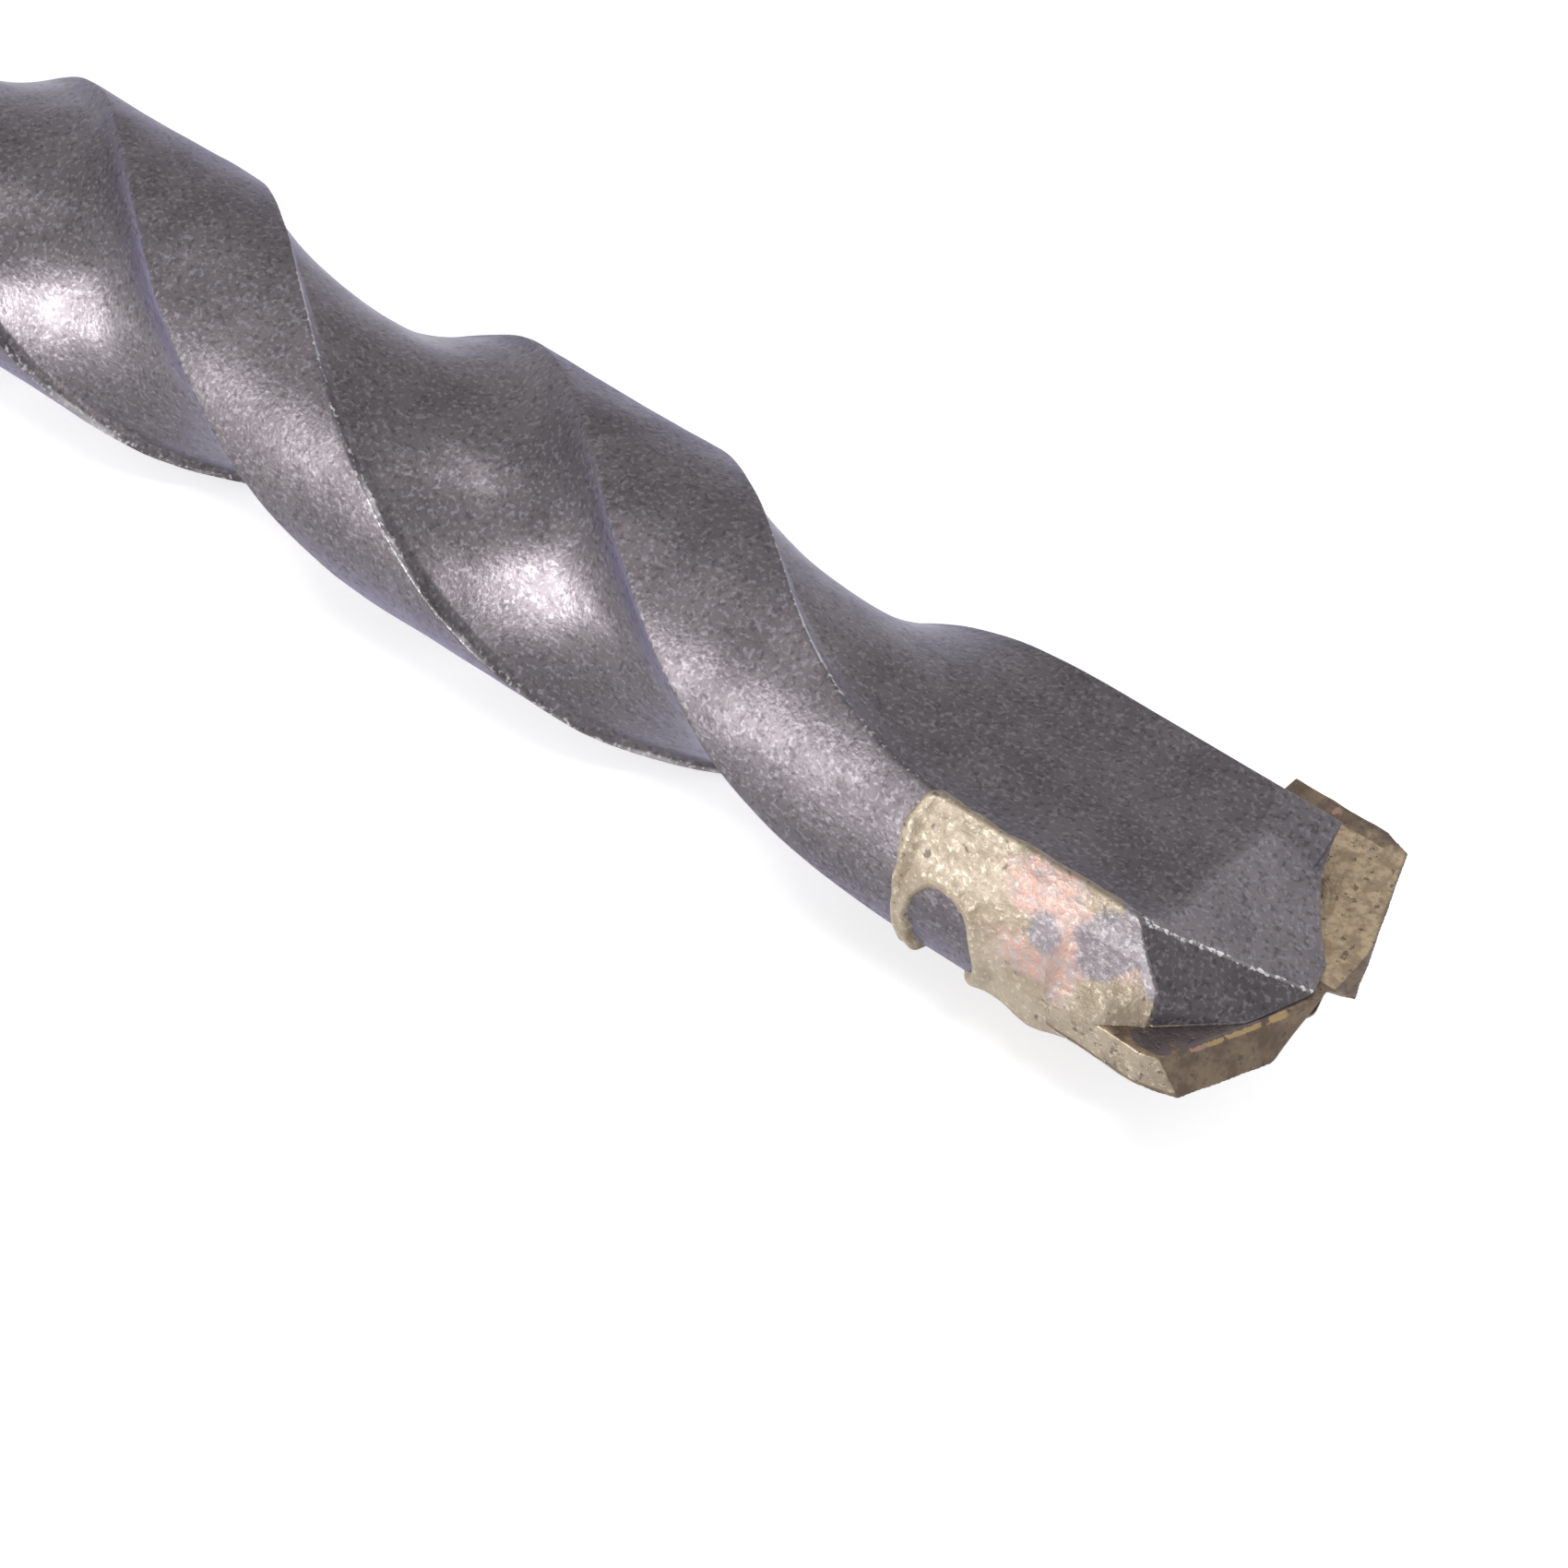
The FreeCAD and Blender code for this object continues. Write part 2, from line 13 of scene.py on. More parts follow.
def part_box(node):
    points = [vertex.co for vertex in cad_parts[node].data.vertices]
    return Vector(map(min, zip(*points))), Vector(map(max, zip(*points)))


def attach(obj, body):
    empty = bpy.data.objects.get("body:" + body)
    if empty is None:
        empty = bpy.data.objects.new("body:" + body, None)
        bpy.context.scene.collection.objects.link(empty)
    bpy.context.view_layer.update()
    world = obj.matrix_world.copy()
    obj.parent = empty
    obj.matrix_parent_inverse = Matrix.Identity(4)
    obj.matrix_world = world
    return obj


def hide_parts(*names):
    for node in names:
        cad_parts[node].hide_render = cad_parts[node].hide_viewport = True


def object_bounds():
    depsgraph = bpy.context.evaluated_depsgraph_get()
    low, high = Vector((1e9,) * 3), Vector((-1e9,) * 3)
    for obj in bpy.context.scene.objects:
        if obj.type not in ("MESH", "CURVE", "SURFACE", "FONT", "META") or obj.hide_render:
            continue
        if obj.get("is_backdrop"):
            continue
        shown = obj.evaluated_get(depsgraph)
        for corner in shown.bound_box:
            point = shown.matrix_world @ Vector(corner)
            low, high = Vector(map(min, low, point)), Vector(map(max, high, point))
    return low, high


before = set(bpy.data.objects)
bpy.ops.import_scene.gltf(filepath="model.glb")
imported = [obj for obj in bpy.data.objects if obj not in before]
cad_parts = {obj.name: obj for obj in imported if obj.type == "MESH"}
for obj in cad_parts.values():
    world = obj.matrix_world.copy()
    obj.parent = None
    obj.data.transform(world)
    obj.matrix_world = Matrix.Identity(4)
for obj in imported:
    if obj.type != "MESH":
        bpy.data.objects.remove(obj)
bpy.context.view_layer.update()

bl_info = {
    "name": "Masonry Drill Bit",
    "version": (1, 0, 0),
    "blender": (4, 5, 0),
    "location": "3D View > Sidebar > Drill Bit",
    "description": "Builds a worn masonry drill bit, its brazed carbide plate and a plain studio",
    "category": "Object",
}

MM = 0.001
TURN = 2 * math.pi


# ---- settings

class DrillBodySettings(PropertyGroup):
    """Sizes of the twisted steel, in metres and radians."""
    shank_radius: FloatProperty(
        name="Shank radius", description="Radius of the slotted shank and the plain neck",
        default=0.005, min=0.002, unit="LENGTH", precision=5)
    land_radius: FloatProperty(
        name="Land radius", description="Radius of the two lands of the fluted stem",
        default=0.004775, min=0.002, unit="LENGTH", precision=6)
    land_width: FloatProperty(
        name="Land width", description="Width of a land round the axis",
        default=math.radians(69), unit="ROTATION")
    land_lead: FloatProperty(
        name="Land lead", description="From the plate round to a land's rear edge, at the head",
        default=math.radians(27), unit="ROTATION")
    flute_pitch: FloatProperty(
        name="Flute pitch", description="Length of one turn of a flute",
        default=0.0393, min=0.01, unit="LENGTH", precision=4)
    head_straight: FloatProperty(
        name="Straight head", description="Stretch of straight flutes behind the plate's corners",
        default=0.0096, min=0, unit="LENGTH", precision=5)
    twist_ease: FloatProperty(
        name="Twist ease", description="Stretch in which the twist sets in",
        default=0.0087, min=0.001, unit="LENGTH", precision=5)
    edge_round: IntProperty(
        name="Edge rounding", description="Smoothing passes that wear the long edges round",
        default=2, min=0, max=12)
    hammer: FloatProperty(
        name="Hammered depth", description="Depth of the soft unevenness of the blasted surface",
        default=0.000055, min=0, unit="LENGTH", precision=6)


class CarbidePlateSettings(PropertyGroup):
    """Wear of the carbide plate."""
    voxel: FloatProperty(
        name="Voxel", description="Cell of the remesh that rounds the worn edges",
        default=0.00006, min=0.00002, unit="LENGTH", precision=6)
    wear: FloatProperty(
        name="Wear", description="Depth of the worn unevenness",
        default=0.000035, min=0, unit="LENGTH", precision=6)


class BrazeJointSettings(PropertyGroup):
    """Sizes of the filler that ran out over the land."""
    thickness: FloatProperty(
        name="Thickness", description="Filler over the land, away from its rim",
        default=0.00005, min=0, unit="LENGTH", precision=6)
    rim: FloatProperty(
        name="Rim", description="Extra height of the raised rim",
        default=0.00012, min=0, unit="LENGTH", precision=6)
    lump: FloatProperty(
        name="Lump", description="Height of the lumps that hang below the land",
        default=0.00045, min=0, unit="LENGTH", precision=6)


class StudioSettings(PropertyGroup):
    """Camera, lights and floor."""
    lens: FloatProperty(
        name="Focal length", description="Focal length of the camera, in millimetres",
        default=118.23, min=20, unit="NONE")
    camera_place: FloatVectorProperty(
        name="Camera place", description="Where the camera stands",
        default=(0.208977, -0.088803, 0.104555), subtype="XYZ", unit="LENGTH", precision=5)
    key_power: FloatProperty(
        name="Key light", description="Power of the key light, in watts",
        default=2.25, min=0, unit="POWER")
    fill_power: FloatProperty(
        name="Fill light", description="Power of the fill lights, in watts",
        default=0.42, min=0, unit="POWER")


# ---- shapes

def arc_points(start, end, radius, side, share):
    """Points on arcs in a plane, for a row of sections at once.

    The centre is the chord's middle, less side times the root of the radius squared less half the
    chord squared, to the right of the way from start to end. side 1 bulges to the right, -1 left.
    """
    chord = end - start
    length = np.hypot(chord[:, 0], chord[:, 1])
    right = np.stack([chord[:, 1], -chord[:, 0]], 1) / length[:, None]
    rise = np.sqrt(np.maximum(radius ** 2 - length ** 2 / 4, 0))
    centre = (start + end) / 2 - side * right * rise[:, None]
    first = np.arctan2(start[:, 1] - centre[:, 1], start[:, 0] - centre[:, 0])
    last = np.arctan2(end[:, 1] - centre[:, 1], end[:, 0] - centre[:, 0])
    sweep = (last - first + math.pi) % TURN - math.pi
    return centre[:, None, :] + spoke(radius[:, None], first[:, None] + sweep[:, None] * share)


def spoke(radius, angle):
    """Places in a plane: a radius times the cosine and the sine of an angle in radians."""
    return np.stack([radius * np.cos(angle), radius * np.sin(angle)], -1)


def polar(distance, degrees):
    return spoke(distance, math.radians(degrees))


def ease(value):
    """The smooth step of a value between 0 and 1: three times its square less twice its cube."""
    value = np.clip(value, 0, 1)
    return value * value * (3 - 2 * value)


def dense_ends(count):
    """Shares from 0 up to but not at 1, closer together at both ends: half of 1 less a cosine."""
    share = np.arange(count) / count
    return 0.35 * share + 0.65 * (0.5 - 0.5 * np.cos(math.pi * share))


# Three large primes that spread a cube's corner over the table of random values
HASH = np.array([73856093, 19349663, 83492791])


def value_noise(points, cell, seed):
    """Smooth noise from -1 to 1 at points: random values at the corners of cubes of that size,
    blended along each axis with the smooth step."""
    table = np.random.default_rng(seed).uniform(-1, 1, 4096)
    scaled = points / cell
    base = np.floor(scaled).astype(np.int64)
    part = ease(scaled - base)
    total = np.zeros(len(points))
    for corner in range(8):
        step = corner >> np.arange(3) & 1
        key = np.bitwise_xor.reduce((base + step) * HASH, axis=1) & 4095
        weight = np.prod(np.where(step == 1, part, 1 - part), axis=1)
        total += weight * table[key]
    return total


def rough_noise(points, cell, seed, layers):
    """Layers of value noise, each at 0.55 of the cell and half the height of the one before."""
    total = np.zeros(len(points))
    for layer in range(layers):
        total += value_noise(points, cell * 0.55 ** layer, seed + layer) * 0.5 ** layer
    return total


def grid_faces(rows, columns, closed):
    """Quads of a grid of rows by columns, joined round where closed."""
    row = np.arange(rows - 1)[:, None] * columns
    column = np.arange(columns if closed else columns - 1)[None, :]
    after = (column + 1) % columns
    quads = np.stack([row + column, row + after, row + columns + after, row + columns + column], -1)
    return quads.reshape(-1, 4)


def new_mesh(name, points, quads, triangles=()):
    """A mesh from arrays of points in metres, quads and triangles."""
    mesh = bpy.data.meshes.new(name)
    triangles = np.asarray(triangles, dtype=np.int32).reshape(-1, 3)
    corners = np.concatenate([np.asarray(quads, dtype=np.int32).ravel(), triangles.ravel()])
    starts = np.concatenate([np.arange(len(quads)) * 4,
                             len(quads) * 4 + np.arange(len(triangles)) * 3])
    mesh.vertices.add(len(points))
    mesh.vertices.foreach_set("co", np.asarray(points, dtype=np.float32).ravel())
    mesh.loops.add(len(corners))
    mesh.loops.foreach_set("vertex_index", corners)
    mesh.polygons.add(len(starts))
    mesh.polygons.foreach_set("loop_start", starts.astype(np.int32))
    mesh.update(calc_edges=True)
    mesh.validate()
    return mesh


def mesh_points(mesh):
    values = np.empty(len(mesh.vertices) * 3, dtype=np.float32)
    mesh.vertices.foreach_get("co", values)
    return values.reshape(-1, 3).astype(np.float64)


def store(mesh, marks):
    """Keep named numbers for each point of a mesh, for its material to read."""
    for name, values in marks.items():
        layer = mesh.attributes.new(name, "FLOAT", "POINT")
        layer.data.foreach_set("value", np.asarray(values, dtype=np.float32))


def put_in_scene(mesh, name):
    piece = bpy.data.objects.new(name, mesh)
    bpy.context.scene.collection.objects.link(piece)
    return piece


def outward_normals(grid):
    """Unit normals of a closed grid (rows, columns, 3), from its two directions' cross product."""
    along = np.gradient(grid, axis=0)
    around = (np.roll(grid, -1, axis=1) - np.roll(grid, 1, axis=1)) / 2
    normal = np.cross(around, along)
    normal /= np.maximum(np.linalg.norm(normal, axis=2, keepdims=True), 1e-12)
    outward = (normal[..., 1] * grid[..., 1] + normal[..., 2] * grid[..., 2]).sum()
    return normal if outward > 0 else -normal


# Millimetres and degrees that the pieces share, as the solid model has them
SHANK_END, RUN_START, CORE, CUTTER = 58, 61, 3.06, 20
SLOT_END, SLOT_HALF, SLOT_DEPTH = 32, 1.5, 1.5
BALL, BALL_LINE, BALL_START, BALL_END = 3.5, 6.8, 12.5, 27.5
LAND, VALLEY, VALLEY_ANGLE, FOOT, FOOT_ANGLE = 4.775, 3.08, 40, 4.3, 2.5
NOSE_SETBACK = 1.35
CORNER_X, FRONT_X = 157.692, 159.409
PLATE_DEPTH, HALF_PLATE, HALF_SLOT, FILM = 4.3, 0.68, 0.76, 0.08
EDGE_SLOPE, EDGE_PEAK = 0.3939, 2.308
EAR_CORNER, EAR_ANGLE, SLOPE_ANGLE = (-5.74, 0.62), 173.8, 152
# The two facets of a jaw: their directions ahead, across and off the plate, and how far out they
# lie. The lower jaw's bevel is ground deeper.
BEVEL, BEVEL_DEPTH = (0.612, -0.206, 0.763), {1: 1.49, -1: 1.25}
RAMP, RAMP_DEPTH = (0.416, 0.153, 0.896), 1.131


def twist_at(x, straight, length, pitch):
    """Radians turned at x: none at the head, growing with the square of the way over the ease,
    and then steadily, one turn for each pitch."""
    behind = CORNER_X - straight - x
    rate = TURN / pitch
    easing = rate * np.clip(behind, 0, None) ** 2 / (2 * length)
    steady = rate * (behind - length / 2)
    return np.where(behind < length, easing, steady)


def flute_rows(x, body):
    """Closed sections of two lands and two flutes, one for each x.

    From a land's rear edge a hollow arc leads down to the valley, a round arc over the floor to the
    foot of the other land's front wall, a short hollow arc up that wall, and an arc over the land.
    The head's corners turn into the stem's with the smooth step over the ease.
    """
    radius = body.land_radius / MM
    straight, length = body.head_straight / MM, body.twist_ease / MM
    lead, width = math.degrees(body.land_lead), math.degrees(body.land_width)
    front = lead - width + 180
    level = ease((CORNER_X - straight - x) / length)[:, None]

    def between(head, stem):
        return np.asarray(head) * (1 - level) + np.asarray(stem) * level

    rear_edge = np.tile(polar(radius, lead), (len(x), 1))
    front_edge = np.tile(polar(radius, front), (len(x), 1))
    valley = between([1.6, 2.25], polar(VALLEY, lead + VALLEY_ANGLE))
    foot = between([-1.9, 2.69], polar(FOOT, front - FOOT_ANGLE))
    half = np.concatenate([
        arc_points(start, end, between([head_bend], [stem_bend])[:, 0], side, dense_ends(count))
        for start, end, head_bend, stem_bend, side, count in (
            (rear_edge, valley, 14.0, 12.0, -1, 26), (valley, foot, 30.0, 7.0, 1, 26),
            (foot, front_edge, 6.0, 0.8, -1, 12),
            (front_edge, -rear_edge, radius, radius, 1, 30))], axis=1)
    section = np.concatenate([half, -half], axis=1)
    for _ in range(body.edge_round):
        section = (section * 2 + np.roll(section, 1, axis=1) + np.roll(section, -1, axis=1)) / 4
    turn = -twist_at(x, straight, length, body.flute_pitch / MM)
    cosine, sine = np.cos(turn)[:, None], np.sin(turn)[:, None]
    return np.stack([section[..., 0] * cosine - section[..., 1] * sine,
                     section[..., 0] * sine + section[..., 1] * cosine], -1)


def soft_least(values, softness):
    """The least of a list of arrays, rounded where two are close: less the log of the sum of
    exponents."""
    stack = np.stack(values)
    lowest = stack.min(axis=0)
    return lowest - softness * np.log(np.exp(-(stack - lowest) / softness).sum(axis=0))


def head_room(x, side, lift):
    """How far a point of the head lies inside its ground front, in millimetres.

    The nose cone and two facets on each jaw: a bevel beyond the plate's relieved edge, and a ramp
    down to the other half's cutting edge, which runs out before the land's rear edge.
    """
    ahead = x - CORNER_X
    rooms = [(LAND - NOSE_SETBACK - ahead - np.hypot(side, lift)) * math.sqrt(0.5)]
    for way in (1, -1):
        w, n = side * way, lift * way
        rooms.append(BEVEL_DEPTH[way] - (BEVEL[0] * ahead + BEVEL[1] * w + BEVEL[2] * n))
        ramp_room = RAMP_DEPTH - (RAMP[0] * ahead + RAMP[1] * w + RAMP[2] * n)
        rooms.append(ramp_room + 0.3 * np.clip(w - 2.4, 0, None) ** 2)
    return soft_least(rooms, 0.025)


def clamp_to_head(x, points):
    """Shrink each point towards the axis until it lies inside the ground front: 30 halvings."""
    inside, outside = np.zeros(points.shape[:2]), np.ones(points.shape[:2])
    ahead = np.broadcast_to(x[:, None], inside.shape)
    fits = head_room(ahead, points[..., 0], points[..., 1]) >= 0
    for _ in range(30):
        middle = (inside + outside) / 2
        good = head_room(ahead, points[..., 0] * middle, points[..., 1] * middle) >= 0
        inside, outside = np.where(good, middle, inside), np.where(good, outside, middle)
    share = np.where(fits, 1.0, np.maximum(inside, 0.02))
    return points * share[..., None]


def turned_radius(x, shank, land):
    """Radius of the turned shank, neck and run-out: straight tapers, then a hollow arc of the
    cutter's radius that touches the core where it ends."""
    drop = land - CORE
    end = RUN_START + math.sqrt(drop * (2 * CUTTER - drop))
    radius = np.interp(x, [0, 1.2, SHANK_END, SHANK_END + 0.5, RUN_START],
                       [shank - 0.693, shank, shank, land, land])
    hollow = CORE + CUTTER - np.sqrt(np.maximum(CUTTER ** 2 - (end - x) ** 2, 0))
    return np.select([x > end, x > RUN_START], [0, hollow], radius)


def locking_radius(x, angle):
    """Radius to the two closed locking grooves: the near root of a ball that is carried along a
    line beside the axis."""
    end = np.clip(x, BALL_START, BALL_END) - x
    reach = BALL ** 2 - end ** 2
    inner = reach - (BALL_LINE * np.sin(angle)) ** 2
    near = BALL_LINE * np.abs(np.cos(angle)) - np.sqrt(np.maximum(inner, 0))
    return np.where((reach > 0) & (inner > 0), near, 99)


def land_front_angle(x, body):
    """Where a land's front edge lies round the axis at x, in radians, for the land beside -Y."""
    turn = twist_at(x, body.head_straight / MM, body.twist_ease / MM, body.flute_pitch / MM)
    return math.pi + body.land_lead - body.land_width - turn


def driving_slot(low, high):
    """A driving slot's cutter from low to high in Z: open at the rear, with a rounded end."""
    outline = spoke(SLOT_HALF, np.linspace(-math.pi / 2, math.pi / 2, 17))
    outline = np.concatenate([[[-3, -SLOT_HALF]], outline + (SLOT_END - SLOT_HALF, 0),
                              [[-3, SLOT_HALF]]])
    points = np.concatenate([np.insert(outline, 2, level, axis=1) for level in (low, high)])
    ring = np.arange(len(outline))
    ends = [ring[::-1].tolist(), (ring + len(ring)).tolist()]
    mesh = bpy.data.meshes.new("driving_slot")
    mesh.from_pydata((points * MM).tolist(), [], grid_faces(2, len(ring), True).tolist() + ends)
    mesh.update()
    return mesh


def finished_mesh(piece):
    """The mesh that a piece's modifiers give."""
    depsgraph = bpy.context.evaluated_depsgraph_get()
    return bpy.data.meshes.new_from_object(piece.evaluated_get(depsgraph))


def cut_away(mesh, cutters):
    """Cut closed meshes out of one with an exact Boolean, and hand back the result."""
    piece = put_in_scene(mesh, "being_cut")
    for number, cutter in enumerate(cutters):
        modifier = piece.modifiers.new(f"cut_{number}", "BOOLEAN")
        modifier.operation = "DIFFERENCE"
        modifier.solver = "EXACT"
        modifier.object = put_in_scene(cutter, f"cutter_{number}")
    result = finished_mesh(piece)
    for thing in [piece] + [modifier.object for modifier in piece.modifiers]:
        bpy.data.objects.remove(thing)
    drop_twin_faces(result)
    return result


def drop_twin_faces(mesh):
    """Join points within half a micrometre, cut all faces into triangles, and delete the pairs on
    the same three points, which the cuts leave along thin edges."""
    work = bmesh.new()
    work.from_mesh(mesh)
    bmesh.ops.remove_doubles(work, verts=work.verts, dist=0.0000005)
    bmesh.ops.triangulate(work, faces=work.faces)
    work.to_mesh(mesh)
    corners = np.empty(len(mesh.loops), dtype=np.int32)
    mesh.loops.foreach_get("vertex_index", corners)
    _, place, count = np.unique(np.sort(corners.reshape(-1, 3), axis=1), axis=0,
                                return_inverse=True, return_counts=True)
    work.faces.ensure_lookup_table()
    twins = [work.faces[number] for number in np.flatnonzero(count[place.ravel()] > 1)]
    bmesh.ops.delete(work, geom=twins, context="FACES")
    work.to_mesh(mesh)
    work.free()


def plate_slot():
    """The straight slot for the plate, open in front and at both sides."""
    low, high = CORNER_X - PLATE_DEPTH - FILM, 163.0
    profile = [(low, -HALF_SLOT), (high, -HALF_SLOT), (high, HALF_SLOT), (low, HALF_SLOT)]
    return tube_across("plate_slot", np.array([9.0, -9.0]), profile, [[3, 2, 1, 0]])


def gash_floor(w):
    """How far ahead of the plate's corners a gash's floor starts, w across from the axis."""
    return 1.5 - 1.25 * w + 0.095 * w ** 2


def tube_across(name, w, profile, cap):
    """A closed tube across the bit: at each w an outline of places along the bit and lifts, with
    the faces of a cap at both ends."""
    grid = np.stack([np.stack(np.broadcast_arrays(x, w, lift), 1) for x, lift in profile], 1)
    last = (len(w) - 1) * len(profile)
    quads = np.concatenate([grid_faces(len(w), len(profile), True), cap,
                            last + np.array(cap)[:, ::-1]])
    return face_outwards(new_mesh(name, grid.reshape(-1, 3) * MM, quads))


def gash_cutter(way):
    """The hollow gash beside the plate on one jaw: its floor rises straight away from the plate."""
    w = np.linspace(-0.3, 6.6, 24)
    floor, front = CORNER_X + gash_floor(w), 166.0
    near, far = 0.70, 5.6
    profile = [(floor, way * near), (floor + 0.466 * (far - near), way * far),
               (front, way * far), (front, way * near)]
    return tube_across("gash_cutter", way * w, profile, [[3, 2, 1, 0]])


def build_drill_body(body):
    """The steel as one grid of stations along the bit by points round it.

    Each point lies on the fluted section or on the turned shank, whichever is further from the
    axis, is drawn in to the locking grooves and the ground front, and is moved along its normal
    by soft noise.
    """
    x = np.unique(np.round(np.concatenate([
        [0, 0.6, 1.2], np.linspace(2, 8.5, 5), np.linspace(8.8, 31.2, 46), np.linspace(33, 57.5, 14),
        [58, 58.25, 58.5, 59.5, 60.5], np.linspace(61, 70, 28), np.linspace(70.5, 145.5, 200),
        np.linspace(145.8, FRONT_X, 110)]), 4))
    shank, land = body.shank_radius / MM, body.land_radius / MM
    section = flute_rows(np.maximum(x, 60.5), body)
    around = np.arctan2(section[..., 1], section[..., 0])
    fluted = np.hypot(section[..., 0], section[..., 1])
    turned = turned_radius(x, shank, land)[:, None]
    radius = np.where(x[:, None] < 60.5, turned, np.maximum(fluted, turned))
    radius = np.minimum(radius, locking_radius(x[:, None], around))
    points = spoke(radius, around)
    near_head = x > CORNER_X - 8
    points[near_head] = clamp_to_head(x[near_head], points[near_head])
    rows, columns = radius.shape
    grid = np.concatenate([np.broadcast_to(x[:, None, None], (rows, columns, 1)), points], axis=2)
    normal = outward_normals(grid)
    flat = grid.reshape(-1, 3)
    depth = body.hammer / MM
    swell = rough_noise(flat, 2.8, 11, 3) * depth + rough_noise(flat, 0.8, 23, 2) * depth * 0.12
    swell *= np.clip((flat[:, 0] - 60) / 4, 0.15, 1) * (1 - 0.75 * ease((flat[:, 0] - 143) / 5))
    swell = swell.reshape(rows, columns)
    swell[[0, -1]] = 0
    # On the shank the surface only goes in, so that it still fits its chuck
    shift = np.minimum(swell, np.where(x[:, None] < 62, 0, 1))
    grid = grid + normal * shift[..., None] * np.array([0, 1, 1])
    centres = np.array([[x[0], 0, 0], [x[-1], 0, 0]])
    points = np.concatenate([grid.reshape(-1, 3), centres])
    ring = np.arange(columns)
    after = (ring + 1) % columns
    rear, last = rows * columns, (rows - 1) * columns
    caps = np.concatenate([np.stack([ring, after, np.full(columns, rear)], 1)[:, ::-1],
                           np.stack([last + ring, last + after, np.full(columns, rear + 1)], 1)])
    quads = grid_faces(rows, columns, True)[:, ::-1]
    mesh = face_outwards(new_mesh("drill_body_blank", points * MM, quads, caps[:, ::-1]))
    floor, top = shank - SLOT_DEPTH, shank + 2
    return cut_away(mesh, [plate_slot(), driving_slot(floor, top), driving_slot(-top, -floor),
                           gash_cutter(1), gash_cutter(-1)])


def face_outwards(mesh):
    """Turn a closed mesh's faces round if its volume, from its corners' triple products, is
    negative."""
    mesh.calc_loop_triangles()
    corners = np.empty(len(mesh.loop_triangles) * 3, dtype=np.int32)
    mesh.loop_triangles.foreach_get("vertices", corners)
    triangle = mesh_points(mesh)[corners.reshape(-1, 3)]
    if (triangle[:, 0] * np.cross(triangle[:, 1], triangle[:, 2])).sum() < 0:
        mesh.flip_normals()
    return mesh


def merged_copy(node, name):
    """A copy of a fixed node's mesh with its doubled points joined."""
    work = bmesh.new()
    work.from_mesh(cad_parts[node].data)
    bmesh.ops.remove_doubles(work, verts=work.verts, dist=0.000002)
    bmesh.ops.recalc_face_normals(work, faces=work.faces)
    mesh = bpy.data.meshes.new(name)
    work.to_mesh(mesh)
    work.free()
    return mesh


def shade(mesh, degrees):
    mesh.shade_smooth()
    mesh.set_sharp_from_angle(angle=math.radians(degrees))


def spots(u, v, *ovals):
    """About how far a place lies inside the nearest of some ovals, positive inside."""
    return np.maximum.reduce([
        (1 - np.hypot((u - centre[0]) / half[0], (v - centre[1]) / half[1])) * min(half)
        for centre, half in ovals])


def filler_rooms(x, arc):
    """Signed ways into the patch, its bare island, its coppery parts and its bare spots.

    x is millimetres ahead of the plate's corners, and arc millimetres round the land from the
    -Y side, growing towards -Z.
    """
    # The patch is a box with corners rounded by 1.7 mm
    along, around = np.abs(x + 3.775) - 5.075, np.abs(arc - 0.75) - 2.95
    outside = np.hypot(np.maximum(along, 0), np.maximum(around, 0))
    patch = 1.7 - outside - np.minimum(np.maximum(along, around), 0)
    island = spots(x, arc, ((-8.75, 0.75), (1.15, 1.75)), ((-9.3, 1.6), (0.6, 1.0)))
    copper = spots(x, arc, ((-5.7, -2.7), (1.7, 1.1)), ((-4.3, -1.7), (1.2, 1.5)),
                   ((-2.6, -2.0), (1.0, 0.7)), ((-5.6, -0.5), (1.7, 0.8)))
    bare = spots(x, arc, ((-5.3, -1.6), (0.6, 0.7)), ((-3.3, -2.3), (1.0, 1.0)),
                 ((-4.4, -0.3), (0.5, 0.35)))
    place = spoke(LAND, math.pi + arc / LAND)
    to_front = (BEVEL_DEPTH[1] - BEVEL[1] * place[..., 0] - BEVEL[2] * place[..., 1]) / BEVEL[0] - x
    strip = (0.42 - 0.1 * arc) * ease((1.6 - arc) / 1.0) - to_front - 1.0 * (arc > 1.6)
    return patch, island, copper, np.maximum(bare, np.clip(strip, -1, 0.3))


